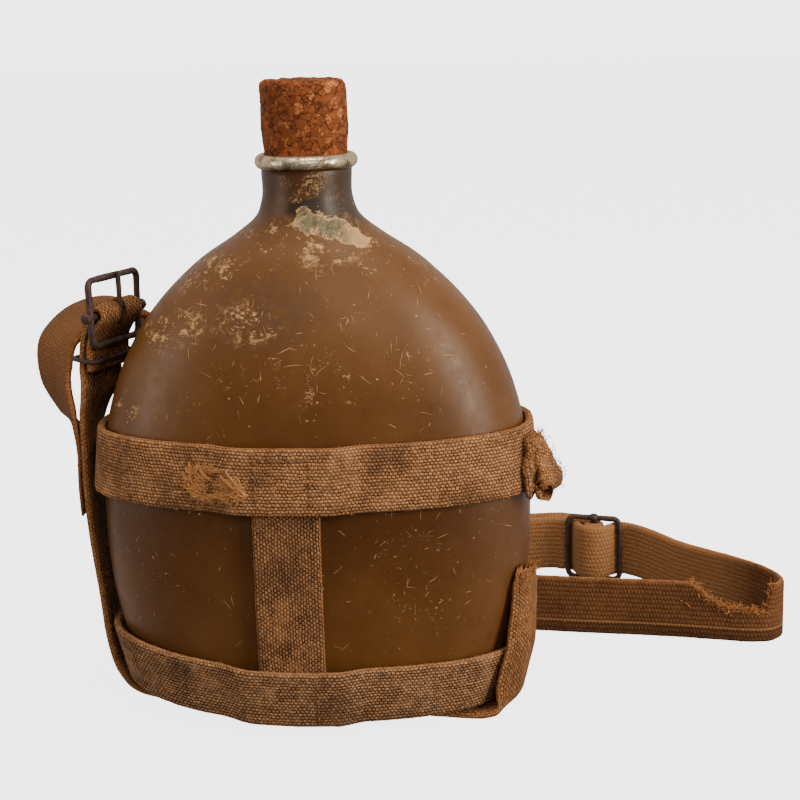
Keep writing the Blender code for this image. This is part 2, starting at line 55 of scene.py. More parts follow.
# Flask, as in the CAD part
BASE_Z = 5.8
BASE_HALF_WIDTH = 66.2
BASE_CORNER = 15.0
BODY_HALF_WIDTH = 72.3
BODY_HALF_DEPTH = 36.0
NECK_RADIUS = 14.9
WALL = 1.1
RIM_Z = 185.7
RIM_HALF_HEIGHT = 2.5
RIM_PROUD = 2.0
BORE_RADIUS = 13.9
BORE_LEVELS = (184, 180, 177, 174)
THROAT_LEVELS = (174.2, 173.4)
DENT_LIMIT = 0.12
OUTLINE = (
    (20.8, BASE_HALF_WIDTH), (45, 71.0), (67, BODY_HALF_WIDTH), (90, 71.4), (105, 68.7), (120, 63.4), (135, 54.8),
    (147, 44.2), (155, 35.0), (162, 24.4), (168, 17.2), (173, 15.2), (RIM_Z - RIM_HALF_HEIGHT, NECK_RADIUS),
)

CORK_TOP_Z = 212.0
CORK_BOTTOM_Z = 172.7
CORK_FOOT_RADIUS = 13.05
CORK_SWELL = 0.45
CORK_OVERHANG = 0.95
CORK_EDGE = 2.2
CORK_SHOWS_FROM = 184

UPPER_BAND_Z = 87.9
LOWER_BAND_Z = 13.4
LOWER_BAND_WIDTH = 20.0
CRADLE_X = -6.0
CRADLE_TOP_Z = 96.0
BULGE_FADE = 12.0

BAR_CENTRE = (-66.5, 0.0, 136.3)
BUCKLE_TURN = math.radians(67)
FRAME_WIRE = 1.15
BAR_RADIUS = 1.2
BAR_HALF_LENGTH = 16.6
PRONG_RADIUS = 0.9
KEEPER_RADIUS = 0.8
UNEVEN = 0.07

SLIDER_CENTRE = (99.0, 119.5, 14.5)
SLIDER_TURN = math.radians(-15)
SLIDER_HALF_LENGTH = 10.8
SLIDER_HALF_HEIGHT = 12.9


# ---- node graphs


def srgb(red, green, blue):
    """Linear colour from 0-255 display values."""
    made = []
    for value in (red / 255, green / 255, blue / 255):
        made.append(value / 12.92 if value <= 0.04045 else ((value + 0.055) / 1.055) ** 2.4)
    return (*made, 1.0)


class Value:
    """A node's output: arithmetic on it adds math nodes."""

    def __init__(self, graph, socket):
        self.graph, self.socket = graph, socket

    def __add__(self, other):
        return self.graph.math("ADD", self, other)

    def __sub__(self, other):
        return self.graph.math("SUBTRACT", self, other)

    def __rsub__(self, other):
        return self.graph.math("SUBTRACT", other, self)

    def __mul__(self, other):
        return self.graph.math("MULTIPLY", self, other)

    def __truediv__(self, other):
        return self.graph.math("DIVIDE", self, other)


class Graph:
    """The node tree of a material or world; its methods add nodes and give back their outputs."""

    def __init__(self, owner):
        owner.use_nodes = True
        self.owner, self.tree = owner, owner.node_tree

    def fill(self, node, inputs):
        """Sets or links a node's inputs, in order or by name."""
        for key, value in inputs.items() if isinstance(inputs, dict) else enumerate(inputs):
            if isinstance(value, Value):
                self.tree.links.new(value.socket, node.inputs[key])
            else:
                node.inputs[key].default_value = value

    def node(self, kind, inputs, outputs=(0,), **settings):
        node = self.tree.nodes.new("ShaderNode" + kind)
        for setting, value in settings.items():
            setattr(node, setting, value)
        self.fill(node, inputs)
        made = [Value(self, node.outputs[key]) for key in outputs]
        return made if len(made) > 1 else made[0]

    def math(self, operation, *values, clamp=False):
        return self.node("Math", values, operation=operation, use_clamp=clamp)

    def most(self, a, b):
        return self.math("MAXIMUM", a, b)

    def vector(self, operation, *values):
        output = "Value" if operation == "LENGTH" else "Vector"
        return self.node("VectorMath", values, (output,), operation=operation)

    def scaled(self, vector, scale):
        return self.node("VectorMath", {0: vector, "Scale": scale}, operation="SCALE")

    def split(self, vector):
        return self.node("SeparateXYZ", [vector], (0, 1, 2))

    def fade(self, value, low, high, start=0.0, end=1.0):
        """Smooth step from start to end as value goes from low to high."""
        return self.node("MapRange", (value, low, high, start, end), interpolation_type="SMOOTHSTEP")


class Look(Graph):
    """A piece's material; its colours are given as 0-255 display values and its sizes in millimetres."""

    def __init__(self, name):
        super().__init__(bpy.data.materials.new(name))
        place, uv = self.node("TexCoord", (), ("Object", "UV"))
        self.place, self.uv = self.scaled(place, 1 / MM), self.scaled(uv, UV_MM)

    def noise(self, size, detail=3.0, roughness=0.55, vector=None):
        """Noise from 0 to 1 with features of about this size."""
        inputs = {"Vector": vector or self.place, "Scale": 1 / size, "Detail": detail, "Roughness": roughness}
        return self.node("TexNoise", inputs)

    def sway(self, amount, *noise, **vector):
        """Noise from -amount to amount."""
        return self.math("MULTIPLY_ADD", self.noise(*noise, **vector), 2 * amount, -amount)

    def patches(self, size, detail, roughness, low, high, *levels):
        """Noise turned into patches with fairly sharp edges."""
        return self.fade(self.noise(size, detail, roughness), low, high, *levels)

    def cells(self, size, outputs=("Distance", "Position"), vector=None, feature="F1"):
        """Distance from the middle of a cell of about this size, and the middle's place."""
        return self.node("TexVoronoi", {"Vector": vector or self.place, "Scale": 1 / size}, outputs, feature=feature)

    def random(self, vector):
        return self.node("TexWhiteNoise", {"Vector": vector}, ("Value",), noise_dimensions="3D")

    def ramp(self, value, *stops):
        node = self.tree.nodes.new("ShaderNodeValToRGB")
        elements = node.color_ramp.elements
        while len(elements) < len(stops):
            elements.new(0.5)
        for element, (place, color) in zip(elements, stops):
            element.position = place
            element.color = srgb(*color)
        self.fill(node, [value])
        return Value(self, node.outputs[0])

    def mix(self, share, a, b):
        a, b = (color if isinstance(color, Value) else srgb(*color) for color in (a, b))
        return self.node("Mix", {0: share, 6: a, 7: b}, (2,), data_type="RGBA", blend_type="MIX")

    def bump(self, height, depth, strength):
        """Bump with a full height of this many millimetres."""
        return self.node("Bump", {"Strength": strength, "Distance": depth * MM, "Height": height})

    def inside(self, centre, radii):
        """Distance from the middle of an oval, as a share of its radii."""
        return self.vector("LENGTH", self.vector("DIVIDE", self.vector("SUBTRACT", self.place, centre), radii))

    def blob(self, centre, radii, ragged, size, soft):
        """Share from 0 to 1 inside a ragged oval patch round a place on the surface."""
        distance = self.inside(centre, radii) + self.sway(ragged, size, 9.0, 0.74)
        return self.fade(distance, 1 + soft / 2, 1 - soft / 2)

    def finish(self, color, roughness, normal=None, metallic=0.0, specular=0.15, tint=(1, 1, 1)):
        inputs = {"Base Color": color, "Roughness": roughness, "Metallic": metallic}
        inputs.update({"Specular IOR Level": specular, "Specular Tint": (*tint, 1)})
        if normal:
            inputs["Normal"] = normal
        self.fill(self.tree.nodes["Principled BSDF"], inputs)
        return self.owner


# ---- materials


def paint_material():
    """Satin mustard-brown paint: scuffed to tan primer, chipped to grey metal at the neck, with a bare rim, a painted
    highlight on the shoulders and a painted shadow below the upper band.
    """
    g = Look("flask_paint")
    x, y, z = g.split(g.place)
    paint = g.ramp(g.noise(38, 4.0, 0.6), (0.3, (81, 46, 14)), (0.55, (94, 56, 21)), (0.8, (106, 67, 30)))
    grime = g.patches(6, 7.0, 0.75, 0.54, 0.72)
    paint = g.mix(grime * 0.4, paint, (70, 38, 16))
    # Painted highlight: the shoulders, from z 108 to 150, are mixed towards a lighter brown in place of light from
    # above.
    shoulder = g.fade(z + g.sway(10.0, 12, 4), 108, 150)
    paint = g.mix(shoulder * 0.3, paint, (118, 78, 42))
    # Painted shadow: a strip just below the upper band, z 44 to 84, is darkened.
    band_shadow = g.fade(z, 44, 70) * g.fade(z, 84, 78)
    paint = g.mix(band_shadow * 0.5, paint, (66, 31, 5))
    dull = g.blob((-13, -30, 141), (18, 14, 13), 0.7, 6, 0.7) * g.patches(3, 7, 0.75, 0.35, 0.65)
    paint = g.mix(dull * 0.6, paint, (74, 52, 40))
    paint = g.mix(g.fade(z, 160, 175) * 0.8, paint, (62, 35, 18))
    paint = g.mix(g.blob((13, -8, 176), (10, 14, 11), 0.4, 5, 0.7), paint, (60, 42, 28))
    paint = g.mix(g.blob((4, -15, 171.3), (9, 8, 3.2), 0.5, 3, 0.4), paint, (42, 30, 22))

    fine = g.noise(1.1, 8.0, 0.78, g.vector("MULTIPLY", g.place, (0.6, 0.8, 1.0)))
    streaks = fine * 0.6 + g.noise(5.5, 4.0, 0.6) * 0.4
    worn = 0.0
    for centre, radii, cover in (
        ((-33, -14, 153), (16, 14, 7), 0.535), ((-46, -20, 133), (10, 10, 6), 0.515),
        ((-38, -24, 136), (9, 10, 4), 0.515), ((-17, -29, 137), (9, 8, 6), 0.525),
        ((-44, -27, 112), (16, 10, 10), 0.58), ((2.5, -30, 120), (16, 10, 10), 0.575),
        ((26, -14, 156), (14, 10, 7), 0.57), ((0, -16, 161), (26, 14, 7), 0.54), ((9, -18, 157), (8, 8, 3), 0.49),
        ((42, -5, 149), (7, 10, 5), 0.54), ((-60, -14, 104), (8, 14, 8), 0.56), ((30, 18, 150), (12, 12, 8), 0.54),
        ((-25, 26, 120), (18, 14, 12), 0.57),
    ):
        worn = g.most(worn, g.blob(centre, radii, 0.5, 6, 0.9) * g.fade(streaks, cover, cover + 0.045))
    flecks = g.noise(0.8, 8, 0.8)
    for centre, radii, cover in (
        ((-5.5, -13.6, 180), (2.8, 6, 2.6), 0.53), ((4.5, -14.3, 180), (4.6, 6, 3.0), 0.50),
        ((1.5, -14.8, 176.5), (4.5, 6, 1.8), 0.53), ((-2, -14.8, 174.5), (2.4, 6, 1.2), 0.52),
        ((11, -12, 174), (4, 8, 5), 0.57),
    ):
        scuff = g.blob(centre, radii, 0.6, 1.6, 0.5) * g.fade(flecks, cover, cover + 0.07)
        worn = g.most(worn, scuff * 0.85)
    for size, chance in ((3.0, 0.82), (1.5, 0.86)):
        distance, middle = g.cells(size)
        spot_on = g.math("GREATER_THAN", g.random(middle), chance)
        spot = g.fade(distance, 0.14, 0.07) * spot_on
        worn = g.most(worn, spot * g.patches(14, 3, 0.55, 0.44, 0.6))
    distance, middle = g.cells(2.1)
    pock_on = g.math("GREATER_THAN", g.random(g.scaled(middle, 1.7)), 0.88)
    pock = g.fade(distance, 0.16, 0.06) * pock_on
    paint = g.mix(pock * 0.7, paint, (52, 28, 12))

    field = -9.0
    for centre, radii in (
        ((2.6, -16, 167.2), (5.8, 11, 3.8)), ((9.0, -16, 165.6), (6.6, 11, 3.8)),
        ((15.0, -15.5, 162.8), (5.0, 11, 2.8)), ((19.0, -15, 160.6), (3.2, 11, 1.8)),
        ((0.6, -15.5, 170.4), (2.4, 9, 2.2)),
    ):
        field = g.most(field, 1.0 - g.inside(centre, radii))
    field = field + g.sway(0.55, 3.6, 3, 0.6) + g.sway(0.65, 1.1, 6, 0.75)
    chip = g.fade(field, 0.06, 0.12) * g.fade(y, 2, -4)
    core = field * 0.7 + g.sway(1.0, 1.9, 8, 0.85)
    bare = g.fade(core, 0.12, 0.26) * chip * g.fade(x, 17, 12, 0.25, 1.0) * g.fade(z, 158, 161)
    worn = g.most(worn, chip)
    primer = g.mix(g.noise(1.2, 6, 0.7), (158, 108, 60), (216, 168, 112))
    metal = g.mix(g.patches(1.6, 8, 0.8, 0.35, 0.65), (78, 68, 44), (128, 114, 84))
    color = g.mix(worn, paint, primer)
    color = g.mix(bare, color, metal)

    rim_foot = RIM_Z - RIM_HALF_HEIGHT
    rim = g.fade(z, rim_foot + 0.1, rim_foot + 0.7)
    pits = g.patches(1.0, 7, 0.75, 0.53, 0.63)
    tarnish = g.mix(g.patches(5, 4, 0.6, 0.4, 0.72), (212, 190, 156), (110, 88, 58))
    silver = g.mix(pits * 0.8, tarnish, (78, 58, 36))
    low_dirt = g.fade(z, RIM_Z - 0.2, rim_foot)
    silver = g.mix(low_dirt * g.patches(3, 4, 0.55, 0.2, 0.5), silver, (84, 60, 36))
    color = g.mix(rim, color, silver)

    roughness = g.patches(4, 5, 0.6, 0.3, 0.75, 0.36, 0.5)
    roughness = g.math("ADD", roughness, worn * 0.25, clamp=True) - rim * 0.14
    height = worn * -0.55 + g.noise(1.1, 5, 0.6) * 0.2 - pock * 0.5 - pits * rim * 0.8
    metallic = g.most(rim, bare * 0.35) * 0.85
    return g.finish(color, roughness, g.bump(height, 0.2, 0.5), metallic, 0.36, (1, 0.84, 0.68))


def cork_material():
    """Pressed cork: russet granules with dark cracks and lighter flecks."""
    g = Look("cork_grain")
    waves = g.node("CombineXYZ", [g.noise(size) for size in (2, 2.6, 3.1)])
    shifted = g.vector("ADD", g.place, g.scaled(waves, 2.4))
    tone = g.random(g.cells(2.6, ("Position",), shifted))
    color = g.ramp(tone, (0.0, (106, 48, 14)), (0.45, (142, 74, 30)), (0.85, (164, 88, 40)), (1.0, (208, 128, 66)))
    edge = g.cells(2.6, ("Distance",), shifted, "DISTANCE_TO_EDGE")
    crack = g.fade(edge, 0.10, 0.02) * g.patches(3.5, 3, 0.55, 0.4, 0.6)
    pit = g.patches(1.5, 4, 0.6, 0.60, 0.68)
    dark = g.most(crack, pit)
    color = g.mix(g.patches(0.8, 5, 0.7, 0.36, 0.62), color, (116, 60, 28))
    color = g.mix(g.patches(1.2, 5, 0.7, 0.6, 0.68, 0.0, 0.7), color, (206, 140, 86))
    color = g.mix(dark * 0.8, color, (64, 28, 9))
    color = g.mix(g.patches(9, 3, 0.55, 0.45, 0.7) * 0.35, color, (96, 44, 20))
    height = g.noise(0.9, 4) * 0.5 - dark
    return g.finish(color, 0.82, g.bump(height, 0.6, 0.8))


def webbing_material(
    name, light, dark, along, across, dirt, fluff=(150, 98, 56), twill=False, shade_above=None, edge_strip_and_painted_far_light=False, relief=0.9
):
    """Woven cotton webbing: offset rows of floats along the strap, dirt in the gaps, pale worn edges, and where
    asked, painted shade high up and painted light on the strap's back run.
    """
    g = Look(name)
    x, y, _ = g.split(g.uv)
    place_x, place_y, place_z = g.split(g.place)
    wobble = g.sway(0.65, 5, 3, vector=g.uv)
    small = g.sway(0.4, 1.3, 3, vector=g.uv)
    across_rows = (y + wobble + small * 0.5) / across
    row = g.math("FLOOR", across_rows)
    step = g.fade(place_x, -42, -34, 0.3, 0.5) if twill else 0.5
    floats = (x + small) / along + g.math("FRACT", row * step)
    cell = g.math("FLOOR", floats)
    du, dv = (g.math("ABSOLUTE", g.math("FRACT", place) * 2.0 - 1.0) for place in (floats, across_rows))
    hollow = g.math("POWER", du, 3.0) + g.math("POWER", dv, 2.2)
    grain = g.math("SUBTRACT", 1.0, hollow, clamp=True)
    fibre = g.noise(0.5, 6, 0.75)
    shade = grain * 0.62 + g.random(g.node("CombineXYZ", (cell, row))) * 0.28
    shade = shade + fibre * 1.1 - 0.5 + g.sway(0.35, 7, 5, 0.6)
    middle = tuple((a + b) / 2 for a, b in zip(light, dark))
    color = g.ramp(shade, (0.1, dark), (0.45, middle), (1.0, light))
    rubbed = g.fade(g.noise(13, 5, 0.65, g.vector("ADD", g.place, (40, 10, 70))), 0.52, 0.68)
    color = g.mix(rubbed * 0.35, color, light)
    color = g.mix(g.patches(14, 7, 0.72, 0.49, 0.6) * dirt, color, (58, 34, 18))
    if shade_above:
        low, high, share = shade_above
        color = g.mix(g.fade(place_z, low, high, 0.0, share), color, (30, 18, 9))
    # A darker strip along the near run's bottom edge with a paler line above it, and painted light on the strap's
    # back run.
    if edge_strip_and_painted_far_light:
        near = g.fade(place_y, 64, 60) * g.fade(place_x, 60, 66)
        strip = near * g.fade(place_z + small, 5.0, 4.4)
        line = near * g.fade(g.math("ABSOLUTE", place_z - 5.3), 0.5, 0.2)
        color = g.mix(strip * 0.4, color, (48, 28, 12))
        color = g.mix(line * 0.5, color, (156, 106, 62))
        # Painted light: the back run beyond y 72, and a little of the left loop, are mixed towards a lighter brown to
        # stand in for light they miss behind the near run.
        far_run_painted_light = g.most(g.fade(place_y, 72, 90), g.fade(place_x, -40, -60) * 0.2)
        color = g.mix(far_run_painted_light * 0.45, color, (186, 128, 78))
    rim = g.node("Attribute", (), ("Fac",), attribute_name="rim")
    worn = g.fade(rim + g.sway(0.3, 2.0, 6, 0.7), 0.82, 1.02)
    color = g.mix(worn * 0.6, color, g.mix(fibre, [v * 0.8 for v in fluff], [v * 1.25 for v in fluff]))
    return g.finish(color, 0.9, g.bump(grain * 0.8 + fibre * 0.7, 0.6, relief))


def fibre_material(name, low, high):
    g = Look(name)
    color = g.mix(g.noise(0.8, 4, 0.7), low, high)
    color = g.mix(g.patches(4, 2, 0.55, 0.55, 0.75, 0.0, 0.5), color, (96, 58, 32))
    return g.finish(color, 0.9, g.bump(g.noise(0.3, 3), 0.15, 0.5))


def patina_material():
    """Dark brown patina on wire, with patches of rust."""
    g = Look("dark_patina")
    color = g.ramp(g.noise(3.2, 5, 0.65), (0.3, (42, 29, 25)), (0.55, (70, 48, 40)), (0.8, (104, 72, 54)))
    rust = g.patches(5, 4, 0.7, 0.58, 0.72)
    color = g.mix(rust * 0.6, color, (112, 62, 34))
    height = g.noise(0.8, 5, 0.7)
    roughness = g.patches(2.5, 4, 0.55, 0.3, 0.7, 0.42, 0.7)
    return g.finish(color, roughness, g.bump(height, 0.18, 0.6), 0.35, 0.4)


def inside_material():
    g = Look("bare_inside")
    color = g.mix(g.noise(6, 5, 0.6), (120, 116, 106), (70, 62, 52))
    return g.finish(color, 0.5, g.bump(g.noise(2, 4), 0.1, 0.4), 0.8)


PAINT = paint_material()
CORK = cork_material()
BAND_WEB = webbing_material("webbing_bands", (202, 142, 92), (86, 49, 23), 1.3, 1.1, 0.52, twill=True)
LOW_WEB = webbing_material("webbing_low", (194, 138, 92), (60, 36, 17), 1.35, 1.1, 0.52, (160, 110, 66))
CRADLE_WEB = webbing_material("webbing_cradle", (182, 124, 78), (56, 32, 14), 1.5, 0.95, 0.45)
SLING_WEB = webbing_material(
    "webbing_sling", (186, 124, 72), (64, 37, 17), 1.5, 1.0, 0.4, (170, 112, 64), shade_above=(84, 108, 0.15)
)
SHOULDER_WEB = webbing_material(
    "webbing_shoulder", (120, 74, 40), (84, 51, 26), 1.3, 1.8, 0.35, (150, 94, 52), edge_strip_and_painted_far_light=True, relief=0.5
)
FRAY = fibre_material("frayed_cotton", (132, 76, 36), (192, 128, 72))
PATCH_FIBRE = fibre_material("patch_cotton", (134, 80, 40), (226, 160, 98))
DULL_THREAD = fibre_material("seam_thread", (92, 58, 32), (140, 96, 58))
PATINA = patina_material()
INSIDE = inside_material()


# ---- shapes


def place(obj, node=None, body="canteen", slot="webbing"):
    """Puts a piece on a CAD body, in place of a CAD node if it has one."""
    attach(obj, body)
    if node:
        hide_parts(node)
    return obj


def link(name, data):
    obj = bpy.data.objects.new(name, data)
    bpy.context.scene.collection.objects.link(obj)
    return obj


def edited(mesh, steps, *given):
    """Runs steps on a mesh as a bmesh."""
    shape = bmesh.new()
    shape.from_mesh(mesh)
    steps(shape, *given)
    shape.to_mesh(mesh)
    shape.free()
    return mesh


def face_outward(shape):
    bmesh.ops.recalc_face_normals(shape, faces=shape.faces)


def new_object(name, vertices, faces, material, uvs=None, rim=None, outward=False):
    """A smooth mesh from points in millimetres; uvs has a pair for each corner of each face, in millimetres."""
    mesh = bpy.data.meshes.new(name)
    mesh.from_pydata(np.asarray(vertices, float) * MM, [], faces)
    if uvs is not None:
        layer = mesh.uv_layers.new(name="UVMap")
        layer.data.foreach_set("uv", (np.asarray(uvs, float) / UV_MM).astype(np.float32).ravel())
    if rim is not None:
        mesh.attributes.new("rim", "FLOAT", "POINT").data.foreach_set("value", np.asarray(rim, np.float32))
    if outward:
        edited(mesh, face_outward)
    mesh.shade_smooth()
    mesh.materials.append(material)
    return link(name, mesh)


def ring_faces(rows, ring, closed=False, start=0):
    """Quads between rows of points, where each row closes into a ring."""
    faces = []
    for i in range(rows if closed else rows - 1):
        here, there = start + i * ring, start + (i + 1) % rows * ring
        for k in range(ring):
            m = (k + 1) % ring
            faces.append((here + k, there + k, there + m, here + m))
    return faces


def cubic_through(knots, values, at):
    slopes = np.gradient(values, knots, axis=0)
    i = int(np.clip(np.searchsorted(knots, at) - 1, 0, len(knots) - 2))
    step = knots[i + 1] - knots[i]
    t = (at - knots[i]) / step
    level = values[i] * (2 * t**3 - 3 * t**2 + 1) + values[i + 1] * (3 * t**2 - 2 * t**3)
    return level + step * (slopes[i] * (t**3 - 2 * t**2 + t) + slopes[i + 1] * (t**3 - t**2))


def smooth_between(stations, spacing):
    """A smooth line through rows of numbers, with a row about every spacing millimetres."""
    rows = np.array(stations, float)
    lengths = np.diff(lengths_along(rows[:, :3]))
    knots = np.concatenate([[0.0], np.cumsum(np.sqrt(np.linalg.norm(np.diff(rows, axis=0), axis=1)))])
    places = []
    for start, end, length in zip(knots, knots[1:], lengths):
        places += list(np.linspace(start, end, max(2, round(length / spacing)), endpoint=False))
    return np.array([cubic_through(knots, rows, at) for at in places + [knots[-1]]])


def wander(point, size, seed):
    """Smooth noise from -1 to 1 that varies over this many millimetres."""
    return noise.noise(Vector(point) / size + Vector((seed * 7.3, seed * 3.1, seed)))


def wander3(point, size, seed):
    return Vector([wander(point, size, seed + i) for i in range(3)])


def clip(share):
    return min(1.0, max(0.0, share))


def smooth_step(share):
    """Smooth fall from 1 to 0 as share goes from 0 to 1."""
    share = clip(share)
    return 1 - share * share * (3 - 2 * share)


def bearing(radius, angle, z):
    return Vector((radius * math.cos(angle), radius * math.sin(angle), z))


def lengths_along(points):
    """Distance from the start to each point of a line."""
    steps = np.linalg.norm(np.diff(points, axis=0), axis=1)
    return np.concatenate([[0.0], np.cumsum(steps)])


def unit(vector):
    return vector / np.linalg.norm(vector)


FACE_STEPS = 10
EDGE_STEPS = 4
BACK_WEAVE = 80


def strap_section(low, high, half_thick):
    """Points (across, out) round a strap's section and, for each step round it, its pair of weave coordinates."""
    radius = half_thick * 0.92
    reach = np.linspace(high - radius, low + radius, FACE_STEPS)
    turn = [math.radians(90 + 180 * i / (EDGE_STEPS + 1)) for i in range(1, EDGE_STEPS + 1)]
    points = [(a, half_thick) for a in reach]
    points += [(low + radius + radius * math.cos(t), half_thick * math.sin(t)) for t in turn]
    points += [(a, -half_thick) for a in reach[::-1]]
    points += [(high - radius - radius * math.cos(t), -half_thick * math.sin(t)) for t in turn]
    arc = math.pi * radius / (EDGE_STEPS + 1)
    weave = list(zip(reach, reach[1:]))
    weave += [(reach[-1] - arc * i, reach[-1] - arc * (i + 1)) for i in range(EDGE_STEPS + 1)]
    weave += [(BACK_WEAVE - a, BACK_WEAVE - b) for a, b in zip(reach[::-1], reach[-2::-1])]
    weave += [(reach[0] + arc * i, reach[0] + arc * (i - 1)) for i in range(EDGE_STEPS + 1, 0, -1)]
    return points, weave


def strap(
    name, stations, material, width=WEB_WIDTH, thick=WEB_THICK, closed=False, shape=None, torn=(0, 0), waver=0.22
):
    """A woven strap along rows of (x, y, z, across x, y, z).

    shape(distance, total length) gives (low edge, high edge, thickness factor, shift out, curl): curl bends the
    strap across its width. torn says how many millimetres at the start and end are ragged, thin and fluffy.
    """
    rows = np.array(stations, float)
    points, count = rows[:, :3], len(rows)
    along_mm = lengths_along(np.vstack([points, points[:1]]) if closed else points)
    total = along_mm[-1]
    vertices, sections, rims = [], [], []
    for i, row in enumerate(rows):
        before = points[i - 1] if closed else points[max(i - 1, 0)]
        after = points[(i + 1) % count] if closed else points[min(i + 1, count - 1)]
        along = unit(after - before)
        across = unit(row[3:] - along * row[3:].dot(along))
        out = np.cross(along, across)
        low, high, scale, moved, curl = shape(along_mm[i], total) if shape else (-width / 2, width / 2, 1, 0, 0)
        from_ends = (along_mm[i], total - along_mm[i])
        frayed = max([0.0] + [1 - distance / reach for reach, distance in zip(torn, from_ends) if reach])
        section, weave = strap_section(low, high, thick / 2 * scale)
        sections.append(weave)
        for a, o in section:
            rim = abs(2 * a / (high - low) - (high + low) / (high - low))
            edge = max(0.0, rim - 0.6) / 0.4
            p = points[i] + across * a + out * (o + moved - curl * a * a)
            shift = (wander(p, 5, 1) * waver + wander(p, 1.7, 2) * 0.12) * edge
            puff = wander(p, 6, 3) * 0.12 + wander(p, 2.0, 4) * 0.06
            ragged = (wander(p, 1.6, 5) * 2.2 + wander(p, 4, 6) * 1.5) * frayed
            p = p + across * math.copysign(shift, a) + along * ragged
            vertices.append(p + out * (math.copysign(puff, o) - o * 0.35 * frayed))
            rims.append(min(1.0, max(rim**3, frayed)))
    ring = len(vertices) // count
    faces, uvs = ring_faces(count, ring, closed), []
    for i in range(len(along_mm) - 1):
        start, end = along_mm[i], along_mm[i + 1]
        for (a0, a1), (b0, b1) in zip(sections[i], sections[(i + 1) % count]):
            uvs += [(start, a0), (end, b0), (end, b1), (start, a1)]
    if not closed:
        for first, flip in ((0, 1), ((count - 1) * ring, -1)):
            last = first + ring - 1
            for k in range(ring // 2 - 1):
                faces.append((first + k, first + k + 1, last - 1 - k, last - k)[::flip])
                uvs += [(0, 0), (0, 1), (1, 1), (1, 0)]
    return new_object(name, vertices, faces, material, uvs, rims, outward=True)


def tubes(name, paths, radii, material, sides, closed=False):
    """Round tubes along paths; each radius is a number or one for each point."""
    vertices, faces = [], []
    for path, radius in zip(paths, radii):
        path = np.array(path, float)
        count = len(path)
        radius = np.broadcast_to(radius, count)
        ends = (np.roll(path, -1, 0) - np.roll(path, 1, 0)) if closed else np.gradient(path, axis=0)
        tangents = ends / np.linalg.norm(ends, axis=1)[:, None]
        side = np.cross(tangents[0], (0.31, 0.17, 0.94))
        start = len(vertices)
        for i, tangent in enumerate(tangents):
            side = unit(side - tangent * side.dot(tangent))
            other = np.cross(tangent, side)
            for k in range(sides):
                angle = TAU * k / sides
                vertices.append(path[i] + (side * math.cos(angle) + other * math.sin(angle)) * radius[i])
        faces += ring_faces(count, sides, closed, start)
        if not closed:
            faces.append(tuple(range(start, start + sides))[::-1])
            faces.append(tuple(range(len(vertices) - sides, len(vertices))))
    return new_object(name, vertices, faces, material, outward=True)


def fibre(rng, start, heading, length, curl, steps=6):
    """A short curved fibre from a point, which wanders as it goes."""
    point, heading = np.array(start, float), unit(np.array(heading, float))
    turn = np.array([rng.gauss(0, 1) for _ in range(3)]) * curl
    made = [point]
    for _ in range(steps):
        heading = unit(heading + turn / steps + np.array([rng.gauss(0, 0.22) for _ in range(3)]))
        point = point + heading * length / steps
        made.append(point)
    return made


def fibres(name, paths, rng, material=FRAY, thick=(0.10, 0.20), body="canteen"):
    """Thin fibres that taper towards their ends."""
    radii = []
    for path in paths:
        radius = rng.uniform(*thick)
        radii.append([radius * (1 - 0.6 * i / (len(path) - 1)) for i in range(len(path))])
    return place(tubes(name, paths, radii, material, 4), None, body)


# ---- flask

HEIGHTS, WIDTHS = np.array(OUTLINE, float).T


def flask_section(z):
    """(half width, half depth, squareness) of the flask at a height."""
    corner_top = BASE_Z + BASE_CORNER
    inset = 0.0
    if z < corner_top:
        inset = BASE_CORNER - math.sqrt(max(BASE_CORNER**2 - (corner_top - z) ** 2, 0.0))
    half_width = float(cubic_through(HEIGHTS, WIDTHS, max(z, corner_top)))
    fullness = max(half_width - NECK_RADIUS, 0.0) / (BODY_HALF_WIDTH - NECK_RADIUS)
    half_depth = NECK_RADIUS + (BODY_HALF_DEPTH - NECK_RADIUS) * fullness**0.85
    return half_width - inset, half_depth - inset, 2.0 + 0.45 * fullness


def oval(half_width, half_depth, squareness, angle):
    c, s = math.cos(angle), math.sin(angle)
    x = half_width * math.copysign(abs(c) ** (2 / squareness), c)
    return x, half_depth * math.copysign(abs(s) ** (2 / squareness), s)


def front_y(x, z, gap=0.0):
    """Depth of the flask's front surface at x and z: a positive number."""
    half_width, half_depth, squareness = flask_section(z)
    share = min(abs(x) / (half_width + gap), 1.0)
    return (half_depth + gap) * (1 - share**squareness) ** (1 / squareness)


def skin(name, rings, material, close_start, close_end):
    """A smooth skin over rings of equal length, closed by a fan at either end."""
    count = len(rings[0])
    vertices = [p for ring in rings for p in ring]
    faces = [(a, d, c, b) for a, b, c, d in ring_faces(len(rings), count)]
    for near, wanted, flip in ((0, close_start, -1), (len(rings) - 1, close_end, 1)):
        if wanted:
            vertices.append(np.mean(rings[near], axis=0))
            for k in range(count):
                face = (near * count + k, near * count + (k + 1) % count, len(vertices) - 1)
                faces.append(face[::flip])
    return new_object(name, vertices, faces, material)


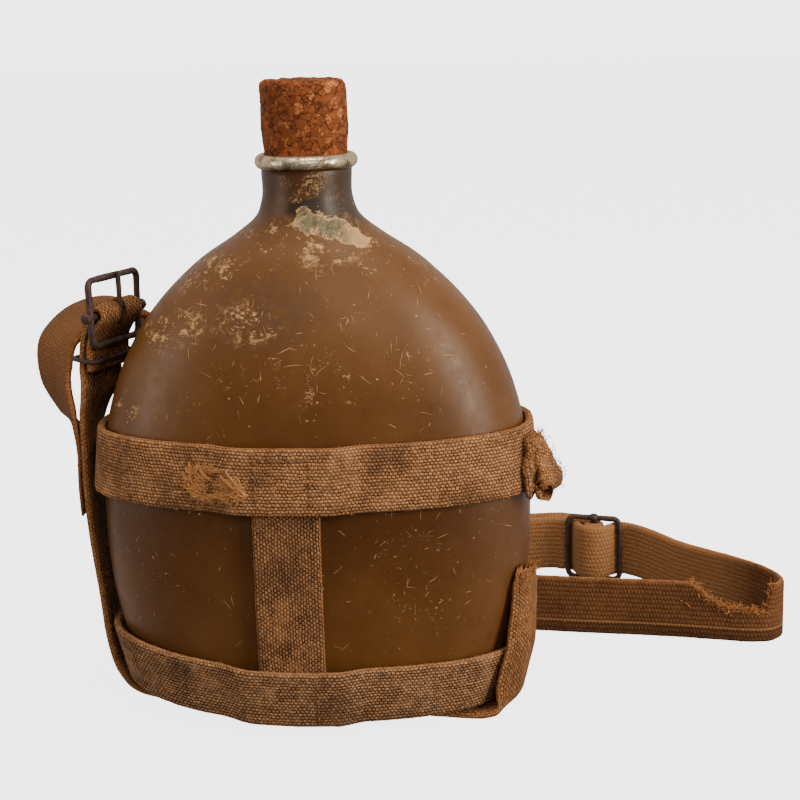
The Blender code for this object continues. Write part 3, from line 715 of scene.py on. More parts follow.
def make_flask(around=176):
    """The flask with a fine skin: shallow dents, a rolled bare rim, and an open inside."""
    angles = [TAU * i / around for i in range(around)]

    def ring(z, offset=0.0, dent=1.0):
        half_width, half_depth, squareness = flask_section(z)
        made = []
        for angle in angles:
            p = Vector((*oval(half_width + offset, half_depth + offset, squareness, angle), z))
            outward = Vector((p.x / half_width**2, p.y / half_depth**2, 0)).normalized()
            push = (wander(p, 26, 1) * 0.16 + wander(p, 9, 2) * 0.045) * dent
            made.append(p + outward * min(push, DENT_LIMIT))
        return made

    def circle(radius, z):
        return [bearing(radius, angle, z) for angle in angles]

    half_width, half_depth, squareness = flask_section(BASE_Z)
    rings = []
    for share in (0.15, 0.35, 0.55, 0.75, 0.9):
        rings.append([Vector((*oval(half_width * share, half_depth * share, squareness, a), BASE_Z)) for a in angles])
    corner = [BASE_Z + BASE_CORNER * (1 - math.cos(math.radians(90 * i / 14))) for i in range(14)]
    levels = corner + list(np.linspace(BASE_Z + BASE_CORNER, 145, 84)) + list(np.linspace(146, 172, 34))
    levels += list(np.linspace(173, RIM_Z - RIM_HALF_HEIGHT, 8))
    rings += [ring(z) for z in levels]
    middle = (NECK_RADIUS + BORE_RADIUS) / 2
    proud = NECK_RADIUS + RIM_PROUD - middle
    for i in range(1, 16):
        angle = math.radians(-90 + 180 * i / 16)
        rings.append(circle(middle + proud * math.cos(angle), RIM_Z + RIM_HALF_HEIGHT * math.sin(angle)))
    rings += [circle(BORE_RADIUS, z) for z in (RIM_Z + RIM_HALF_HEIGHT - 0.5, *BORE_LEVELS)]
    place(skin("flask_shell", rings, PAINT, True, False), "flask_body", slot="brown_paint")
    inner = [circle(BORE_RADIUS, z) for z in THROAT_LEVELS]
    levels = list(np.linspace(171, 21, 34)) + [z for z in reversed(corner) if z > BASE_Z + WALL]
    inner += [ring(z, -WALL, 0) for z in levels]
    place(skin("flask_inside", inner, INSIDE, False, True), slot="brown_paint")


def on_flask(x, z, side, out):
    """A point just outside the flask's front (-1) or back (1), with the direction that faces outward there."""
    y = front_y(x, z)
    point = np.array((x, side * y, z))
    along_x = np.array((0.4, side * (front_y(x + 0.4, z) - y), 0))
    along_z = np.array((0, side * (front_y(x, z + 0.4) - y), 0.4))
    normal = unit(np.cross(along_x, along_z))
    normal *= math.copysign(1, normal[1] * side)
    return point + normal * out, normal


def scratch(rng, x, z, side, heading, length, width, bend):
    """Points of a thin tapered mark on the flask: pairs of its two edges."""
    pairs = []
    steps = max(3, int(length / 1.0))
    for i in range(steps + 1):
        share = i / steps
        half = width / 2 * (0.35 + math.sin(math.pi * min(max(share, 0.04), 0.96))) / 1.35
        point, normal = on_flask(x, z, side, 0.13)
        sideways = unit(np.cross(normal, (math.cos(heading), 0, math.sin(heading))))
        pairs.append((point - sideways * half, point + sideways * half))
        heading += bend / steps + rng.gauss(0, 0.05)
        x += math.cos(heading) * length / steps
        z += math.sin(heading) * length / steps
    return pairs


MARKS_FROM, MARKS_TO, MARKS_INSET = 8, 168, 5
CHIP_X, CHIP_Z = 11, 165


def make_scratches():
    """Fine pale scratches all over the flask, thickest in a few clusters."""
    rng = random.Random(11)
    marks = []

    def clear(x, z):
        """Whether a mark may start or end here: on the body, and not round its outline."""
        return MARKS_FROM < z < MARKS_TO and abs(x) <= flask_section(z)[0] - MARKS_INSET

    def add(x, z, side, heading, length, width, bend):
        on_chip = abs(x - CHIP_X) < 18 and abs(z - CHIP_Z) < 9
        if clear(x, z) and clear(x + math.cos(heading) * length, z + math.sin(heading) * length) and not on_chip:
            marks.append(scratch(rng, x, z, side, heading, length, width, bend))

    for _ in range(340):
        side = -1 if rng.random() < 0.62 else 1
        z = rng.uniform(28, 166)
        x = rng.uniform(-1, 1) * (flask_section(z)[0] - 6)
        length = min(rng.expovariate(1 / 1.1) + 0.3, 5)
        add(x, z, side, rng.uniform(0, math.pi), length, rng.uniform(0.06, 0.17), rng.gauss(0, 0.15))
    for cx, cz, spread, count, side, reach in (
        (3, 119.5, 5, 22, -1, 6.5), (36, 46, 9, 40, -1, 4.2), (26, 62, 9, 22, -1, 3.6), (-20, 120, 12, 34, -1, 5),
        (-36, 134, 9, 40, -1, 5), (-18, 138, 7, 30, -1, 4), (-30, 152, 7, 26, -1, 5), (8, 155, 12, 40, -1, 5),
        (35, 125, 14, 44, -1, 5), (14, 140, 12, 34, -1, 5), (44, 66, 8, 22, -1, 5), (-8, 62, 20, 30, -1, 4),
        (-45, 56, 9, 16, -1, 4), (18, 110, 16, 30, 1, 6), (-30, 60, 18, 30, 1, 6),
    ):
        for _ in range(count):
            x, z = rng.gauss(cx, spread * 0.6), rng.gauss(cz, spread * 0.6)
            length = min(max(rng.expovariate(1 / reach) * 0.4, 0.3), reach)
            add(x, z, side, rng.uniform(0, math.pi), length, rng.uniform(0.06, 0.18), rng.gauss(0, 0.2))
    vertices, faces = [], []
    for pairs in marks:
        start = len(vertices)
        for a, b in pairs:
            vertices += [a, b]
        for i in range(len(pairs) - 1):
            k = start + 2 * i
            faces.append((k, k + 1, k + 3, k + 2))
    g = Look("scratch_primer")
    material = g.finish(g.mix(g.patches(3, 3, 0.55, 0.35, 0.6), (138, 90, 48), (210, 160, 110)), 0.6)
    place(new_object("flask_scratches", vertices, faces, material), slot="brown_paint")


def make_cork(around=120, levels=64):
    """A slightly lopsided stopper with a worn top edge and pitted sides."""
    rim_top = RIM_Z + RIM_HALF_HEIGHT
    rings = []
    for j in range(levels + 1):
        share = j / levels
        z = CORK_BOTTOM_Z + (CORK_TOP_Z - CORK_BOTTOM_Z) * share
        above = max(0.0, (z - rim_top) / (CORK_TOP_Z - rim_top))
        base = CORK_FOOT_RADIUS + CORK_SWELL * min(share / 0.35, 1) + CORK_OVERHANG * min(above * 3, 1)
        into = max(0.0, z - (CORK_TOP_Z - CORK_EDGE)) / CORK_EDGE
        rounding = CORK_EDGE * (1 - math.sqrt(max(0.0, 1 - into**2)))
        ring = []
        for i in range(around):
            angle = TAU * i / around
            worn = 0.75 * above**2 * max(0, -math.cos(angle - 2.6)) + 0.35 * above * max(0, math.cos(angle))
            uneven = 0.8 + 0.4 * wander((angle * 5, 0, 0), 3, 9)
            ring.append(bearing(base - worn - rounding * uneven, angle, z))
        rings.append(ring)
    top = rings[-1]
    for share in (0.93, 0.84, 0.72, 0.58, 0.44, 0.3, 0.15):
        rings.append([Vector((p.x * share, p.y * share, CORK_TOP_Z)) for p in top])
    for ring in rings:
        for i, p in enumerate(ring):
            outward = Vector((p.x, p.y, 0)).normalized()
            level = p.z
            pit = max(0.0, wander(p, 1.6, 3) - 0.28) * 1.5 + max(0.0, wander(p, 3.4, 4) - 0.35) * 1.2
            rough = wander(p, 1.0, 5) * 0.12 + wander(p, 7, 6) * 0.2
            exposed = min(1.0, max(0.15, (level - CORK_SHOWS_FROM) / 3))
            p = p + outward * (min(rough, 0.1) - pit) * exposed
            if level > CORK_TOP_Z - 2.5:
                p.z -= max(0.0, wander(p, 2.2, 7) + 0.1) * 0.9 + max(0.0, wander(p, 6, 8))
            ring[i] = p
    place(skin("cork_plug", rings, CORK, True, True), "cork_stopper", "cork", "cork")


# ---- carrier


def bulge(x):
    """1 where a band passes over the cradle strap, falling to 0 beside it."""
    return smooth_step((abs(x - CRADLE_X) - WEB_WIDTH / 2 - 3) / BULGE_FADE)


def upper_lift(x):
    return 0.6 * min(abs(x) / 55, 1.0) ** 2


def lower_lift(x):
    return 0.0015 * x * x if x < 0 else 0.012 * x


# (level, width, slack beyond the usual gap, lean on the faces, lean on the right, lift), as in the CAD part
BANDS = {
    "upper": (UPPER_BAND_Z, WEB_WIDTH, 0.5, 0.0, 0.0, upper_lift),
    "lower": (LOWER_BAND_Z, LOWER_BAND_WIDTH, 1.1, 3.0, 5.6, lower_lift),
}


def band_point(band, angle, up, out=0.0):
    """A point of a band at an angle round the flask: up its width from the middle, out from mid-thickness."""
    level, width, slack, face_lean, right_lean, lift = BANDS[band]
    side_x = BODY_HALF_WIDTH * math.cos(angle)
    half_width, half_depth, squareness = flask_section(max(level + up + lift(side_x), BASE_Z + BASE_CORNER))
    gap = GAP + WEB_HALF + slack + out
    lean = face_lean + (right_lean - face_lean) * max(math.cos(angle), 0.0) ** 2
    inward = lean * (width / 2 - up) / width
    x, y = oval(half_width + gap, half_depth + gap, squareness, angle)
    over = (WEB_THICK + 3 * GAP) * bulge(x) if abs(y) > half_depth * 0.55 else 0.0
    x, y = oval(half_width + gap - inward, half_depth + gap + over - inward, squareness, angle)
    return np.array((x, y, level + up + lift(x)))


def on_band(band, x, up, side, out):
    """A point of a band's front (-1) or back (1) at x, a distance up its width and out from its outer face."""
    level, _, slack, _, _, _ = BANDS[band]
    half_width, _, squareness = flask_section(max(level + up, BASE_Z + BASE_CORNER))
    cosine = math.copysign((abs(x) / (half_width + GAP + WEB_HALF + slack)) ** (squareness / 2), x)
    return band_point(band, side * math.acos(max(-1.0, min(1.0, cosine))), up, WEB_HALF + out)


def make_bands(count=300):
    for band, (_, width, _, face_lean, _, _) in BANDS.items():
        half = math.sqrt(width**2 - face_lean**2) / 2
        stations = []
        for i in range(count):
            angle = TAU * i / count
            low, high = band_point(band, angle, -half), band_point(band, angle, half)
            stations.append((*((low + high) / 2), *(high - low)))
        made = strap(f"{band}_band_web", stations, BAND_WEB if band == "upper" else LOW_WEB, width, closed=True)
        place(made, f"{band}_band")


def make_cradle():
    clear = GAP + WEB_HALF
    wall = [(-front_y(CRADLE_X, z, clear), z) for z in (CRADLE_TOP_Z, 84, 72, 60, 48, 36, 26)]
    foot = [(-35.6, 18), (-34.1, 11), (-32.1, 5.8), (-29.4, 2.4), (-25.5, 1.4), (-22.3, 2.3), (-19, 4.1), (-14, 4.25)]
    half = wall + foot
    route = half + [(0, 4.25)] + [(-y, z) for y, z in reversed(half)]
    points = smooth_between([(CRADLE_X, y, z, 1, 0, 0) for y, z in route], 1.3)
    place(strap("cradle_web", points, CRADLE_WEB), "cradle_strap")


def turned(centre, angle, x, y, z):
    """A point given in an upright frame that is turned about its centre."""
    c, s = math.cos(angle), math.sin(angle)
    return centre[0] + c * x - s * y, centre[1] + s * x + c * y, centre[2] + z


def buckle_to_world(x, y, z):
    return turned(BAR_CENTRE, BUCKLE_TURN, x, y, z)


SLING_ROUTE = [
    (72.1, -9.5, 49.5, 0.276, 0.961), (72.1, -10.4, 40, 0.3, 0.954), (71.5, -11.6, 31, 0.35, 0.937),
    (70.9, -13.0, 23.5, 0.39, 0.92), (69.2, -13.8, 17, 0.42, 0.907), (67.7, -14.0, 11, 0.42, 0.907),
    (66.2, -13.9, 6.2, 0.42, 0.907), (63.8, -13.7, 3.1, 0.4, 0.917), (59.4, -13.3, 1.8, 0.36, 0.933),
    (53, -12.6, 1.45, 0.3, 0.954), (48, -11.6, 1.36, 0.25, 0.97), (30, -8.5, 1.3, 0.18, 0.98),
    (10, -5, 1.3, 0.17, 0.98), (-10, -1.6, 1.3, 0.16, 0.98), (-30, 1.5, 1.3, 0.13, 0.98), (-50, 3.5, 1.4, 0.08, 1),
    (-58.5, 4.0, 1.9, 0, 1), (-65.3, 4.0, 4.5, 0, 1), (-69.9, 3.7, 10.5, 0, 1), (-72.7, 3.2, 20, 0, 1),
    (-74.6, 2.4, 40, 0, 1), (-76.6, 1.2, 62, 0, 1), (-77.3, 0.4, 80, 0, 1), (-77.2, 0.4, 92, 0, 1),
    (-75.9, 0.4, 101, 0.12, 0.99), (-73.4, 0.4, 110, 0.3, 0.95),
]


def bar_turn(gap, degrees):
    """Mid-line of a strap that turns round a bar with this gap to it."""
    bend = BAR_RADIUS + gap + WEB_HALF
    return [(bend * math.cos(math.radians(a)), bend * math.sin(math.radians(a))) for a in degrees]


def make_sling():
    route = [(*row, 0) for row in SLING_ROUTE]
    across = (math.cos(BUCKLE_TURN), math.sin(BUCKLE_TURN), 0)
    outer = [(7.0, -19.5), (6.6, -14), (5.9, -9), (4.9, -5), (3.4, -1.8)]
    inner = [(-0.3, -3.9), (1.4, -6), (3.0, -9), (3.6, -14), (3.8, -19)]
    turn = bar_turn(0.35, range(15, 240, 32))
    for y, z in outer + turn + inner:
        route.append((*buckle_to_world(0, y, z), *across))

    def shape(distance, total):
        half = WEB_WIDTH / 2 * (0.8 + 0.2 * math.sqrt(clip(distance / 6)))
        curl = 0.02 * clip((52 - distance) / 12)
        back = 0.62 + 0.38 * clip((distance - 44) / 18)
        return -half, half * back, 1.0, 0.0, curl

    sling = strap("sling_web", smooth_between(route, 0.9), SLING_WEB, torn=(5, 0), shape=shape)
    cut_box(sling, (3.2, 11.0, 10.4), (0, 0, 0.8))
    place(sling, "sling_strap")


def cut_box(obj, size, centre):
    """Cuts a box, in the buckle's own frame, out of a piece."""

    def box(shape):
        bmesh.ops.create_cube(shape, size=MM)
        bmesh.ops.scale(shape, vec=size, verts=shape.verts)
        bmesh.ops.translate(shape, vec=[value * MM for value in centre], verts=shape.verts)

    cutter = link("cutter", edited(bpy.data.meshes.new("cutter"), box))
    cutter.location = [value * MM for value in BAR_CENTRE]
    cutter.rotation_euler = (0, 0, BUCKLE_TURN)
    step = obj.modifiers.new("slot", "BOOLEAN")
    step.operation = "DIFFERENCE"
    step.object = cutter
    bpy.context.view_layer.update()
    graph = bpy.context.evaluated_depsgraph_get()
    made = bpy.data.meshes.new_from_object(obj.evaluated_get(graph), preserve_all_data_layers=True, depsgraph=graph)
    obj.modifiers.clear()
    obj.data = made
    bpy.data.objects.remove(cutter, do_unlink=True)


# ---- fittings


def rounded_outline(half_top, half_bottom, top, bottom, corner, steps=8):
    corners = (
        (half_top - corner, top - corner, 0),
        (-half_top + corner, top - corner, 90),
        (-half_bottom + corner, bottom + corner, 180),
        (half_bottom - corner, bottom + corner, 270),
    )
    made = []
    for x, z, start in corners:
        for step in range(steps + 1):
            angle = math.radians(start + 90 * step / steps)
            made.append((x + corner * math.cos(angle), z + corner * math.sin(angle)))
    return made


def denser(points, spacing=0.7, closed=True):
    """The same line with a point about every spacing millimetres."""
    points = [np.array(p, float) for p in points]
    made = []
    for a, b in zip(points, points[1:] + points[:1] if closed else points[1:]):
        count = max(1, round(float(np.linalg.norm(b - a)) / spacing))
        made += [a + (b - a) * i / count for i in range(count)]
    return made if closed else made + [points[-1]]


def wire(name, path, radius, body, node, closed=False, seed=1):
    """A slightly uneven round wire."""
    radii = [radius * (1 + UNEVEN * wander(p, 2.2, seed) + UNEVEN * wander(p, 6, seed + 1)) for p in path]
    return place(tubes(name, [path], [radii], PATINA, 14, closed), node, body, "dark_wire")


def make_buckle():
    outline = denser([buckle_to_world(x, 0, z) for x, z in rounded_outline(13.6, 13.0, 12.2, -9.8, 2.4)])
    wire("buckle_wire", outline, FRAME_WIRE, "buckle", "buckle_frame", closed=True)
    end = BAR_HALF_LENGTH
    profile = [(-end, 0.9), (-end + 0.2, 1.6), (-end + 0.5, 1.85), (-end + 1.3, 1.85), (-end + 1.5, BAR_RADIUS)]
    profile += [(x, BAR_RADIUS) for x in np.linspace(-end + 2, end - 2, 30)]
    profile += [(-x, r) for x, r in reversed(profile[:5])]
    path = [buckle_to_world(x, 0, 0) for x, _ in profile]
    bar = tubes("buckle_pin", [path], [[r for _, r in profile]], PATINA, 18)
    place(bar, "buckle_bar", "buckle", "dark_wire")
    ring = BAR_RADIUS + 0.3 + PRONG_RADIUS
    curl = [math.radians(a) for a in range(440, 179, -12)]
    shank = [(0, -ring, 4), (0, -ring, 8), (0, -ring + 0.1, 11), (0, -ring + 0.2, 13.8)]
    local = [(0, ring * math.cos(a), ring * math.sin(a)) for a in curl] + shank
    path = [buckle_to_world(*p) for p in denser(local, 0.6, closed=False)]
    wire("buckle_tongue", path, PRONG_RADIUS, "prong", "buckle_prong", seed=4)
    tilt = Matrix.Rotation(math.radians(6), 4, "X")
    centre = Vector((0, 5.3, -15.0))
    loop = [centre + tilt @ Vector((x, y, 0)) for x, y in rounded_outline(12.2, 12.2, 4.0, -4.0, 1.6, 5)]
    path = denser([buckle_to_world(*p) for p in loop])
    wire("keeper_wire", path, KEEPER_RADIUS, "keeper", "strap_keeper", closed=True, seed=6)


STUB_ACROSS = np.array((0.42, 0.907, 0.0))
STUB_LAYER = [(73.4, -14, 97), (73.8, -14, 92), (74.2, -14, 87), (74.7, -13.8, 82), (75.2, -13.6, 78.5)]
STUB_FOLD = [
    (74.2, -14, 95.5), (75.4, -14, 92), (76.6, -13.8, 88), (78.3, -13.2, 84), (79.6, -12.8, 80.8),
    (79.0, -12.6, 78.4), (77.4, -13, 78), (76.8, -13.4, 80),
]


def make_stub():
    """The torn strap end at the right of the upper band: a crumpled, folded lump with frayed tops."""
    rng = random.Random(5)

    def shape(distance, total):
        half = 3.6 + 4.2 * min(1.0, distance / total * 1.5)
        return -half, half, 1.0, 0.0, 0.012

    for name, points, node in (("stub_web", STUB_LAYER, "torn_stub"), ("stub_fold", STUB_FOLD, None)):
        route = smooth_between([(*p, *STUB_ACROSS) for p in points], 0.6)
        lump = strap(name, route, BAND_WEB, 14, 2.7, shape=shape, torn=(5, 2), waver=0.6)
        for vertex in lump.data.vertices:
            p = Vector(vertex.co) / MM
            vertex.co = (p + wander3(p, 4, 11) * 0.7 + wander3(p, 1.5, 14) * 0.35) * MM
        place(lump, node)
    paths = []
    for _ in range(150):
        start = np.array((74.6, -14, 0)) + STUB_ACROSS * rng.uniform(-6.5, 5)
        start += (rng.gauss(0, 0.6), 0, rng.uniform(88, 96.5))
        paths.append(fibre(rng, start, (rng.uniform(-0.2, 0.4), rng.gauss(0, 0.3), 1), rng.uniform(1.5, 3.6), 0.8))
    for _ in range(360):
        base = np.array(STUB_FOLD[rng.randrange(1, 7)]) + STUB_ACROSS * rng.choice((-7.6, 7.0, rng.uniform(-7, 7)))
        start = base + (rng.uniform(-0.6, 1.7), 0, rng.uniform(-2.6, 2.6))
        paths.append(fibre(rng, start, (0.5, rng.gauss(-0.3, 0.8), rng.gauss(0, 0.9)), rng.uniform(0.5, 1.4), 1.6))
    fibres("stub_frays", paths, rng, thick=(0.08, 0.16))


# ---- shoulder strap


def slider_to_world(x, y, z=0.0):
    return turned(SLIDER_CENTRE, SLIDER_TURN, x, y, z)


STRAP_EDGE_Z = WEB_WIDTH / 2 + 0.1
STRAP_LOOP = [
    (-80.4, 0.8, 68, 0, 1, 0), (-80.4, 0.6, 80, 0, 1, 0), (-80.6, 0.6, 90, -0.06, 1, 0),
    (-84.4, 0.6, 101.5, -0.45, 0.88, 0.1), (-88.6, 3.6, 114, -0.62, 0.76, 0.15),
    (-88.4, 8.0, 124.5, -0.62, 0.76, 0.15), (-82.0, 15.5, 131.8, -0.5, 0.84, 0.15),
    (-72.0, 26, 133.6, -0.4, 0.9, 0.1), (-64.5, 33.5, 130, -0.5, 0.86, 0), (-59.5, 38.5, 121, -0.7, 0.7, 0),
    (-56, 42.5, 104, -0.85, 0.5, 0), (-53.5, 46, 82, -0.95, 0.3, 0), (-52, 49, 58, -1, 0.1, 0),
    (-51, 54, 36, -1, 0, 0), (-50.5, 62, 19, -0.95, 0.05, 0.3), (-48, 73, 12.9, -0.75, 0.15, 0.65),
    (-42, 84, 12.1, -0.3, 0.2, 0.93), (-32, 92, STRAP_EDGE_Z, 0, 0, 1),
]
STRAP_FOLDS = [
    (-18, 95.5), (5, 96), (28, 95.5), (44, 94.5), (50.5, 89), (44, 83.5), (28, 83), (5, 82.5), (-14, 82),
    (-23, 80.5), (-27.5, 75), (-22, 69.8), (-10, 69), (14, 69), (38, 67.5), (58, 65.5), (74, 62.5), (90, 60),
    (108, 58), (126, 55.5), (142, 52.4), (154, 50.2), (161.5, 51.4), (165.6, 57), (165, 65), (160.2, 74.5),
    (150.5, 86),
]
STRAP_CLIMB = [(139, 96.8, 0.1), (131, 103.6, 0.7), (124.5, 109.4, 1.9), (118.5, 114.2, 3.0)]
STRAP_CREST = [(13.6, 2.6), (11.4, 2.95), (9.4, 2.6), (7.7, 0.6), (6.3, -1.8), (4.6, -4.4), (2.2, -5.8)]
STRAP_SETTLE = [(73, 128.6, 2.4), (63, 129.2, 0.9), (52, 129.2, 0.1)]
NOTCH = (132.5, 161.5)
NOTCH_DEPTH = 7.4
NEAR_RUN_Y = 60
TABLE_RUNS_TO_Z = 20


def shoulder_route():
    """Sewn to the sling on the left, looped over behind the flask, folded there and run out to the right."""
    tail = STRAP_CREST + [(0, -6.1)] + [(-x, y) for x, y in reversed(STRAP_CREST)] + [(-18, 3.0)]
    route = STRAP_LOOP + [(x, y, STRAP_EDGE_Z, 0, 0, 1) for x, y in STRAP_FOLDS]
    route += [(x, y, STRAP_EDGE_Z + rise, 0, 0, 1) for x, y, rise in STRAP_CLIMB]
    route += [(*slider_to_world(x, y), 0, 0, 1) for x, y in tail]
    route += [(x, y, STRAP_EDGE_Z + rise, 0, 0, 1) for x, y, rise in STRAP_SETTLE]
    return smooth_between(route, 1.1)


def torn_top(x):
    """Height of the near run's top edge above its middle, where it is torn away before the hairpin."""
    start, end = NOTCH
    share = min(clip((x - start) / 10) ** 0.8, clip((end - x) / 2.5))
    ragged = 0.9 * wander((x, 0, 0), 2.6, 21) + 0.5 * wander((x, 0, 0), 0.9, 22)
    return WEB_WIDTH / 2 - share * (NOTCH_DEPTH + 0.1 * (x - start)) + ragged * share


def make_shoulder_strap():
    rng = random.Random(23)
    route = shoulder_route()
    places = lengths_along(route[:, :3])
    on_near_run = [i for i, (_, y, z) in enumerate(route[:, :3]) if y < NEAR_RUN_Y and z < TABLE_RUNS_TO_Z]
    tops = np.full(len(route), WEB_WIDTH / 2)
    for i in on_near_run:
        tops[i] = torn_top(route[i][0])

    def shape(distance, total):
        full = clip((distance - 20) / 16)
        scale = (0.3 + 0.15 * clip(distance / 10)) * (1 - full) + full
        inward = WEB_HALF * (1 - scale) + 0.25 * (1 - full)
        return -WEB_WIDTH / 2, float(np.interp(distance, places, tops)), scale, -inward, 0

    made = place(strap("shoulder_web", route, SHOULDER_WEB, shape=shape, torn=(0, 4)), "shoulder_strap")
    paths = []
    for _ in range(420):
        x = rng.uniform(NOTCH[0] - 1, NOTCH[1] + 1)
        near = min(on_near_run, key=lambda i: abs(route[i][0] - x))
        z = route[near][2] + tops[near] + rng.uniform(-1.6, 0.1)
        start = (x, route[near][1] + rng.uniform(-1.0, 1.0), z)
        heading = (rng.gauss(0, 0.8), rng.gauss(-0.15, 0.5), rng.uniform(0.0, 1.0))
        paths.append(fibre(rng, start, heading, rng.uniform(1.0, 3.8), 1.4))
    for x0, z0, x1, z1 in ((131, 11.5, 138, 8.2), (133, 10.5, 141, 7.0), (136, 8.6, 146, 7.2), (128.5, 15, 134, 9.5)):
        thread = []
        for t in np.linspace(0, 1, 9):
            z = z0 + (z1 - z0) * t + 1.1 * math.sin(math.pi * t)
            thread.append((x0 + (x1 - x0) * t, 53.3 + 0.6 * math.sin(9 * t), z))
        paths.append(thread)
    frays = fibres("shoulder_frays", paths, rng, thick=(0.14, 0.26))
    return made, frays, route


def declare_shoulder_strap(route):
    tuple(route[0][:3] * MM)
    [tuple(p * MM) for p in route[:, :3]]


def make_short_strap():
    """Sewn round the slide adjuster's bar at one end, torn at the other."""
    rng = random.Random(31)
    turn = bar_turn(0.3, range(54, -190, -30))
    run = [(24, 135.6, -3.2), (42, 136.0, -3.0), (60, 135.9, -2.2), (75, 135.2, -1.0)]
    wrap = [(-16, 9.6), (-10, 9.2), (-6, 8.2), (-2.6, 6.3), (0.2, 4.3)] + turn
    wrap += [(-3.4, 1.9), (-4.9, 3.6), (-6.8, 5.0), (-9, 5.9), (-11.4, 6.15), (-16, 6.2), (-21, 6.3)]
    route = [(x, y, SLIDER_CENTRE[2] + fall, 0, 0, 1) for x, y, fall in run]
    route += [(*slider_to_world(x, y), 0, 0, 1) for x, y in wrap]
    route = smooth_between(route, 0.9)[::-1]
    made = place(strap("short_web", route, SHOULDER_WEB, torn=(0, 5)), "short_strap", "short_end")
    paths = []
    for _ in range(60):
        start = (25 + rng.uniform(-1, 1.5), 135.6 + rng.uniform(-0.8, 0.8), rng.uniform(1.5, 21))
        paths.append(fibre(rng, start, (-1, rng.gauss(0, 0.3), rng.gauss(0, 0.4)), rng.uniform(1.5, 4), 1.0))
    return [made, fibres("short_frays", paths, rng, body="short_end")]


def make_slider():
    half_x, half_z = SLIDER_HALF_LENGTH, SLIDER_HALF_HEIGHT
    outline = rounded_outline(half_x, half_x, half_z, -half_z, 3.0)
    path = denser([slider_to_world(x, 0, z) for x, z in outline])
    frame_wire = wire("slider_wire", path, FRAME_WIRE, "canteen", "slider_frame", closed=True, seed=8)
    end = half_z + 1.5
    path = [slider_to_world(0, 0, z) for z in np.linspace(-end, end, 40)]
    radii = [2.1 if abs(abs(z) - half_z) < 1.1 else BAR_RADIUS for z in np.linspace(-end, end, 40)]
    return [frame_wire, place(tubes("slider_pin", [path], [radii], PATINA, 16), "slider_bar", slot="dark_wire")]


# ---- seams and frays


STITCH = 1.45
THREAD_RADIUS = 0.3
STITCH_RISES = ((0, -0.35), (0.12, 0.1), (0.5, 0.18), (0.88, 0.1), (1, -0.35))


def box_path(half_width, half_height):
    """Places round a box, a stitch apart."""
    corners = [(-half_width, -half_height), (half_width, -half_height), (half_width, half_height)]
    corners += [(-half_width, half_height), (-half_width, -half_height)]
    made = []
    for (u0, v0), (u1, v1) in zip(corners, corners[1:]):
        count = max(2, round(math.hypot(u1 - u0, v1 - v0) / STITCH))
        made += [(u0 + (u1 - u0) * i / count, v0 + (v1 - v0) * i / count) for i in range(count)]
    return made


def stitches(name, places, body, node):
    """Short thread stitches, one from every second place to the next; places holds (point, outward direction)."""
    paths = []
    for (a, out), (b, _) in zip(places[::2], places[1::2]):
        a, b, out = np.array(a), np.array(b), np.array(out, float)
        paths.append([a + (b - a) * share + out * rise for share, rise in STITCH_RISES])
    return place(tubes(name, paths, [THREAD_RADIUS] * len(paths), DULL_THREAD, 6), node, body, "thread")


def make_stitches():
    for band in BANDS:
        for face, side in (("front", -1), ("back", 1)):
            places = []
            for u, v in box_path(8.6, 7.4):
                places.append((on_band(band, CRADLE_X + u, v, side, 0.05), (0, side, 0)))
            stitches(f"stitches_{band}_{face}", places, "canteen", f"thread_{band}_{face}")
    places = [((-80.05, 0.6 + u, 79 + v), (-1, 0, 0)) for u, v in box_path(8.4, 8.0)]
    stitches("stitches_left", places, "canteen", "thread_left")
    places = []
    out = np.array(slider_to_world(0, 1)) - np.array(slider_to_world(0, 0))
    for u, v in box_path(2.4, 8.6):
        places.append((slider_to_world(-13.4 + u, 9.5 + WEB_HALF - 0.06 * u, v), out))
    return [stitches("stitches_short", places, "short_end", "thread_short_strap")]


HOLE_X, HOLE_UP, HOLE_RADIUS = -28.2, -2.6, 1.9


def make_worn_patch():
    """The rubbed-through place on the front of the upper band: loose orange fibres round a small hole."""
    rng = random.Random(41)
    paths = []
    for cx, up0, rx, ru, count in (
        (-34, -1.0, 3.8, 5.2, 170), (-23, -2.8, 5.2, 4.0, 200),
        (-29, -6.0, 6.0, 1.7, 50), (-30.5, 3.4, 4.0, 1.5, 36),
    ):
        for _ in range(count):
            angle, reach = rng.uniform(0, TAU), math.sqrt(rng.random())
            x, up = cx + rx * reach * math.cos(angle), up0 + ru * reach * math.sin(angle)
            if math.hypot(x - HOLE_X, (up - HOLE_UP) * 1.1) < HOLE_RADIUS:
                continue
            turn = rng.gauss(0.5, 0.9)
            points = []
            lift = rng.uniform(0.15, 0.95)
            length = rng.uniform(1.6, 4.4)
            for t in np.linspace(0, 1, 7):
                px = x + math.cos(turn) * length * (t - 0.5) + 0.4 * math.sin(5 * t + angle)
                pu = up + math.sin(turn) * length * (t - 0.5) + 0.3 * math.cos(4 * t + angle)
                points.append(on_band("upper", px, pu, -1, -0.1 + lift * math.sin(math.pi * t)))
            paths.append(points)
    for x0, u0, x1, u1, lift in (
        (-33, 2.5, -27.5, -1.0, 0.9), (-30, 2.0, -24, 3.5, 1.0), (-26, 1.5, -20, -2.5, 0.8),
        (-31, -5.5, -23, -6.0, 0.7), (-24, 3.0, -17.5, -3.8, 0.6),
    ):
        for shift in (0.0, 0.35, 0.7):
            strand = []
            for t in np.linspace(0, 1, 9):
                px, pu = x0 + (x1 - x0) * t, u0 + shift + (u1 - u0) * t
                strand.append(on_band("upper", px, pu, -1, lift * math.sin(math.pi * t)))
            paths.append(strand)
    fibres("patch_fibres", paths, rng, PATCH_FIBRE, (0.11, 0.24))


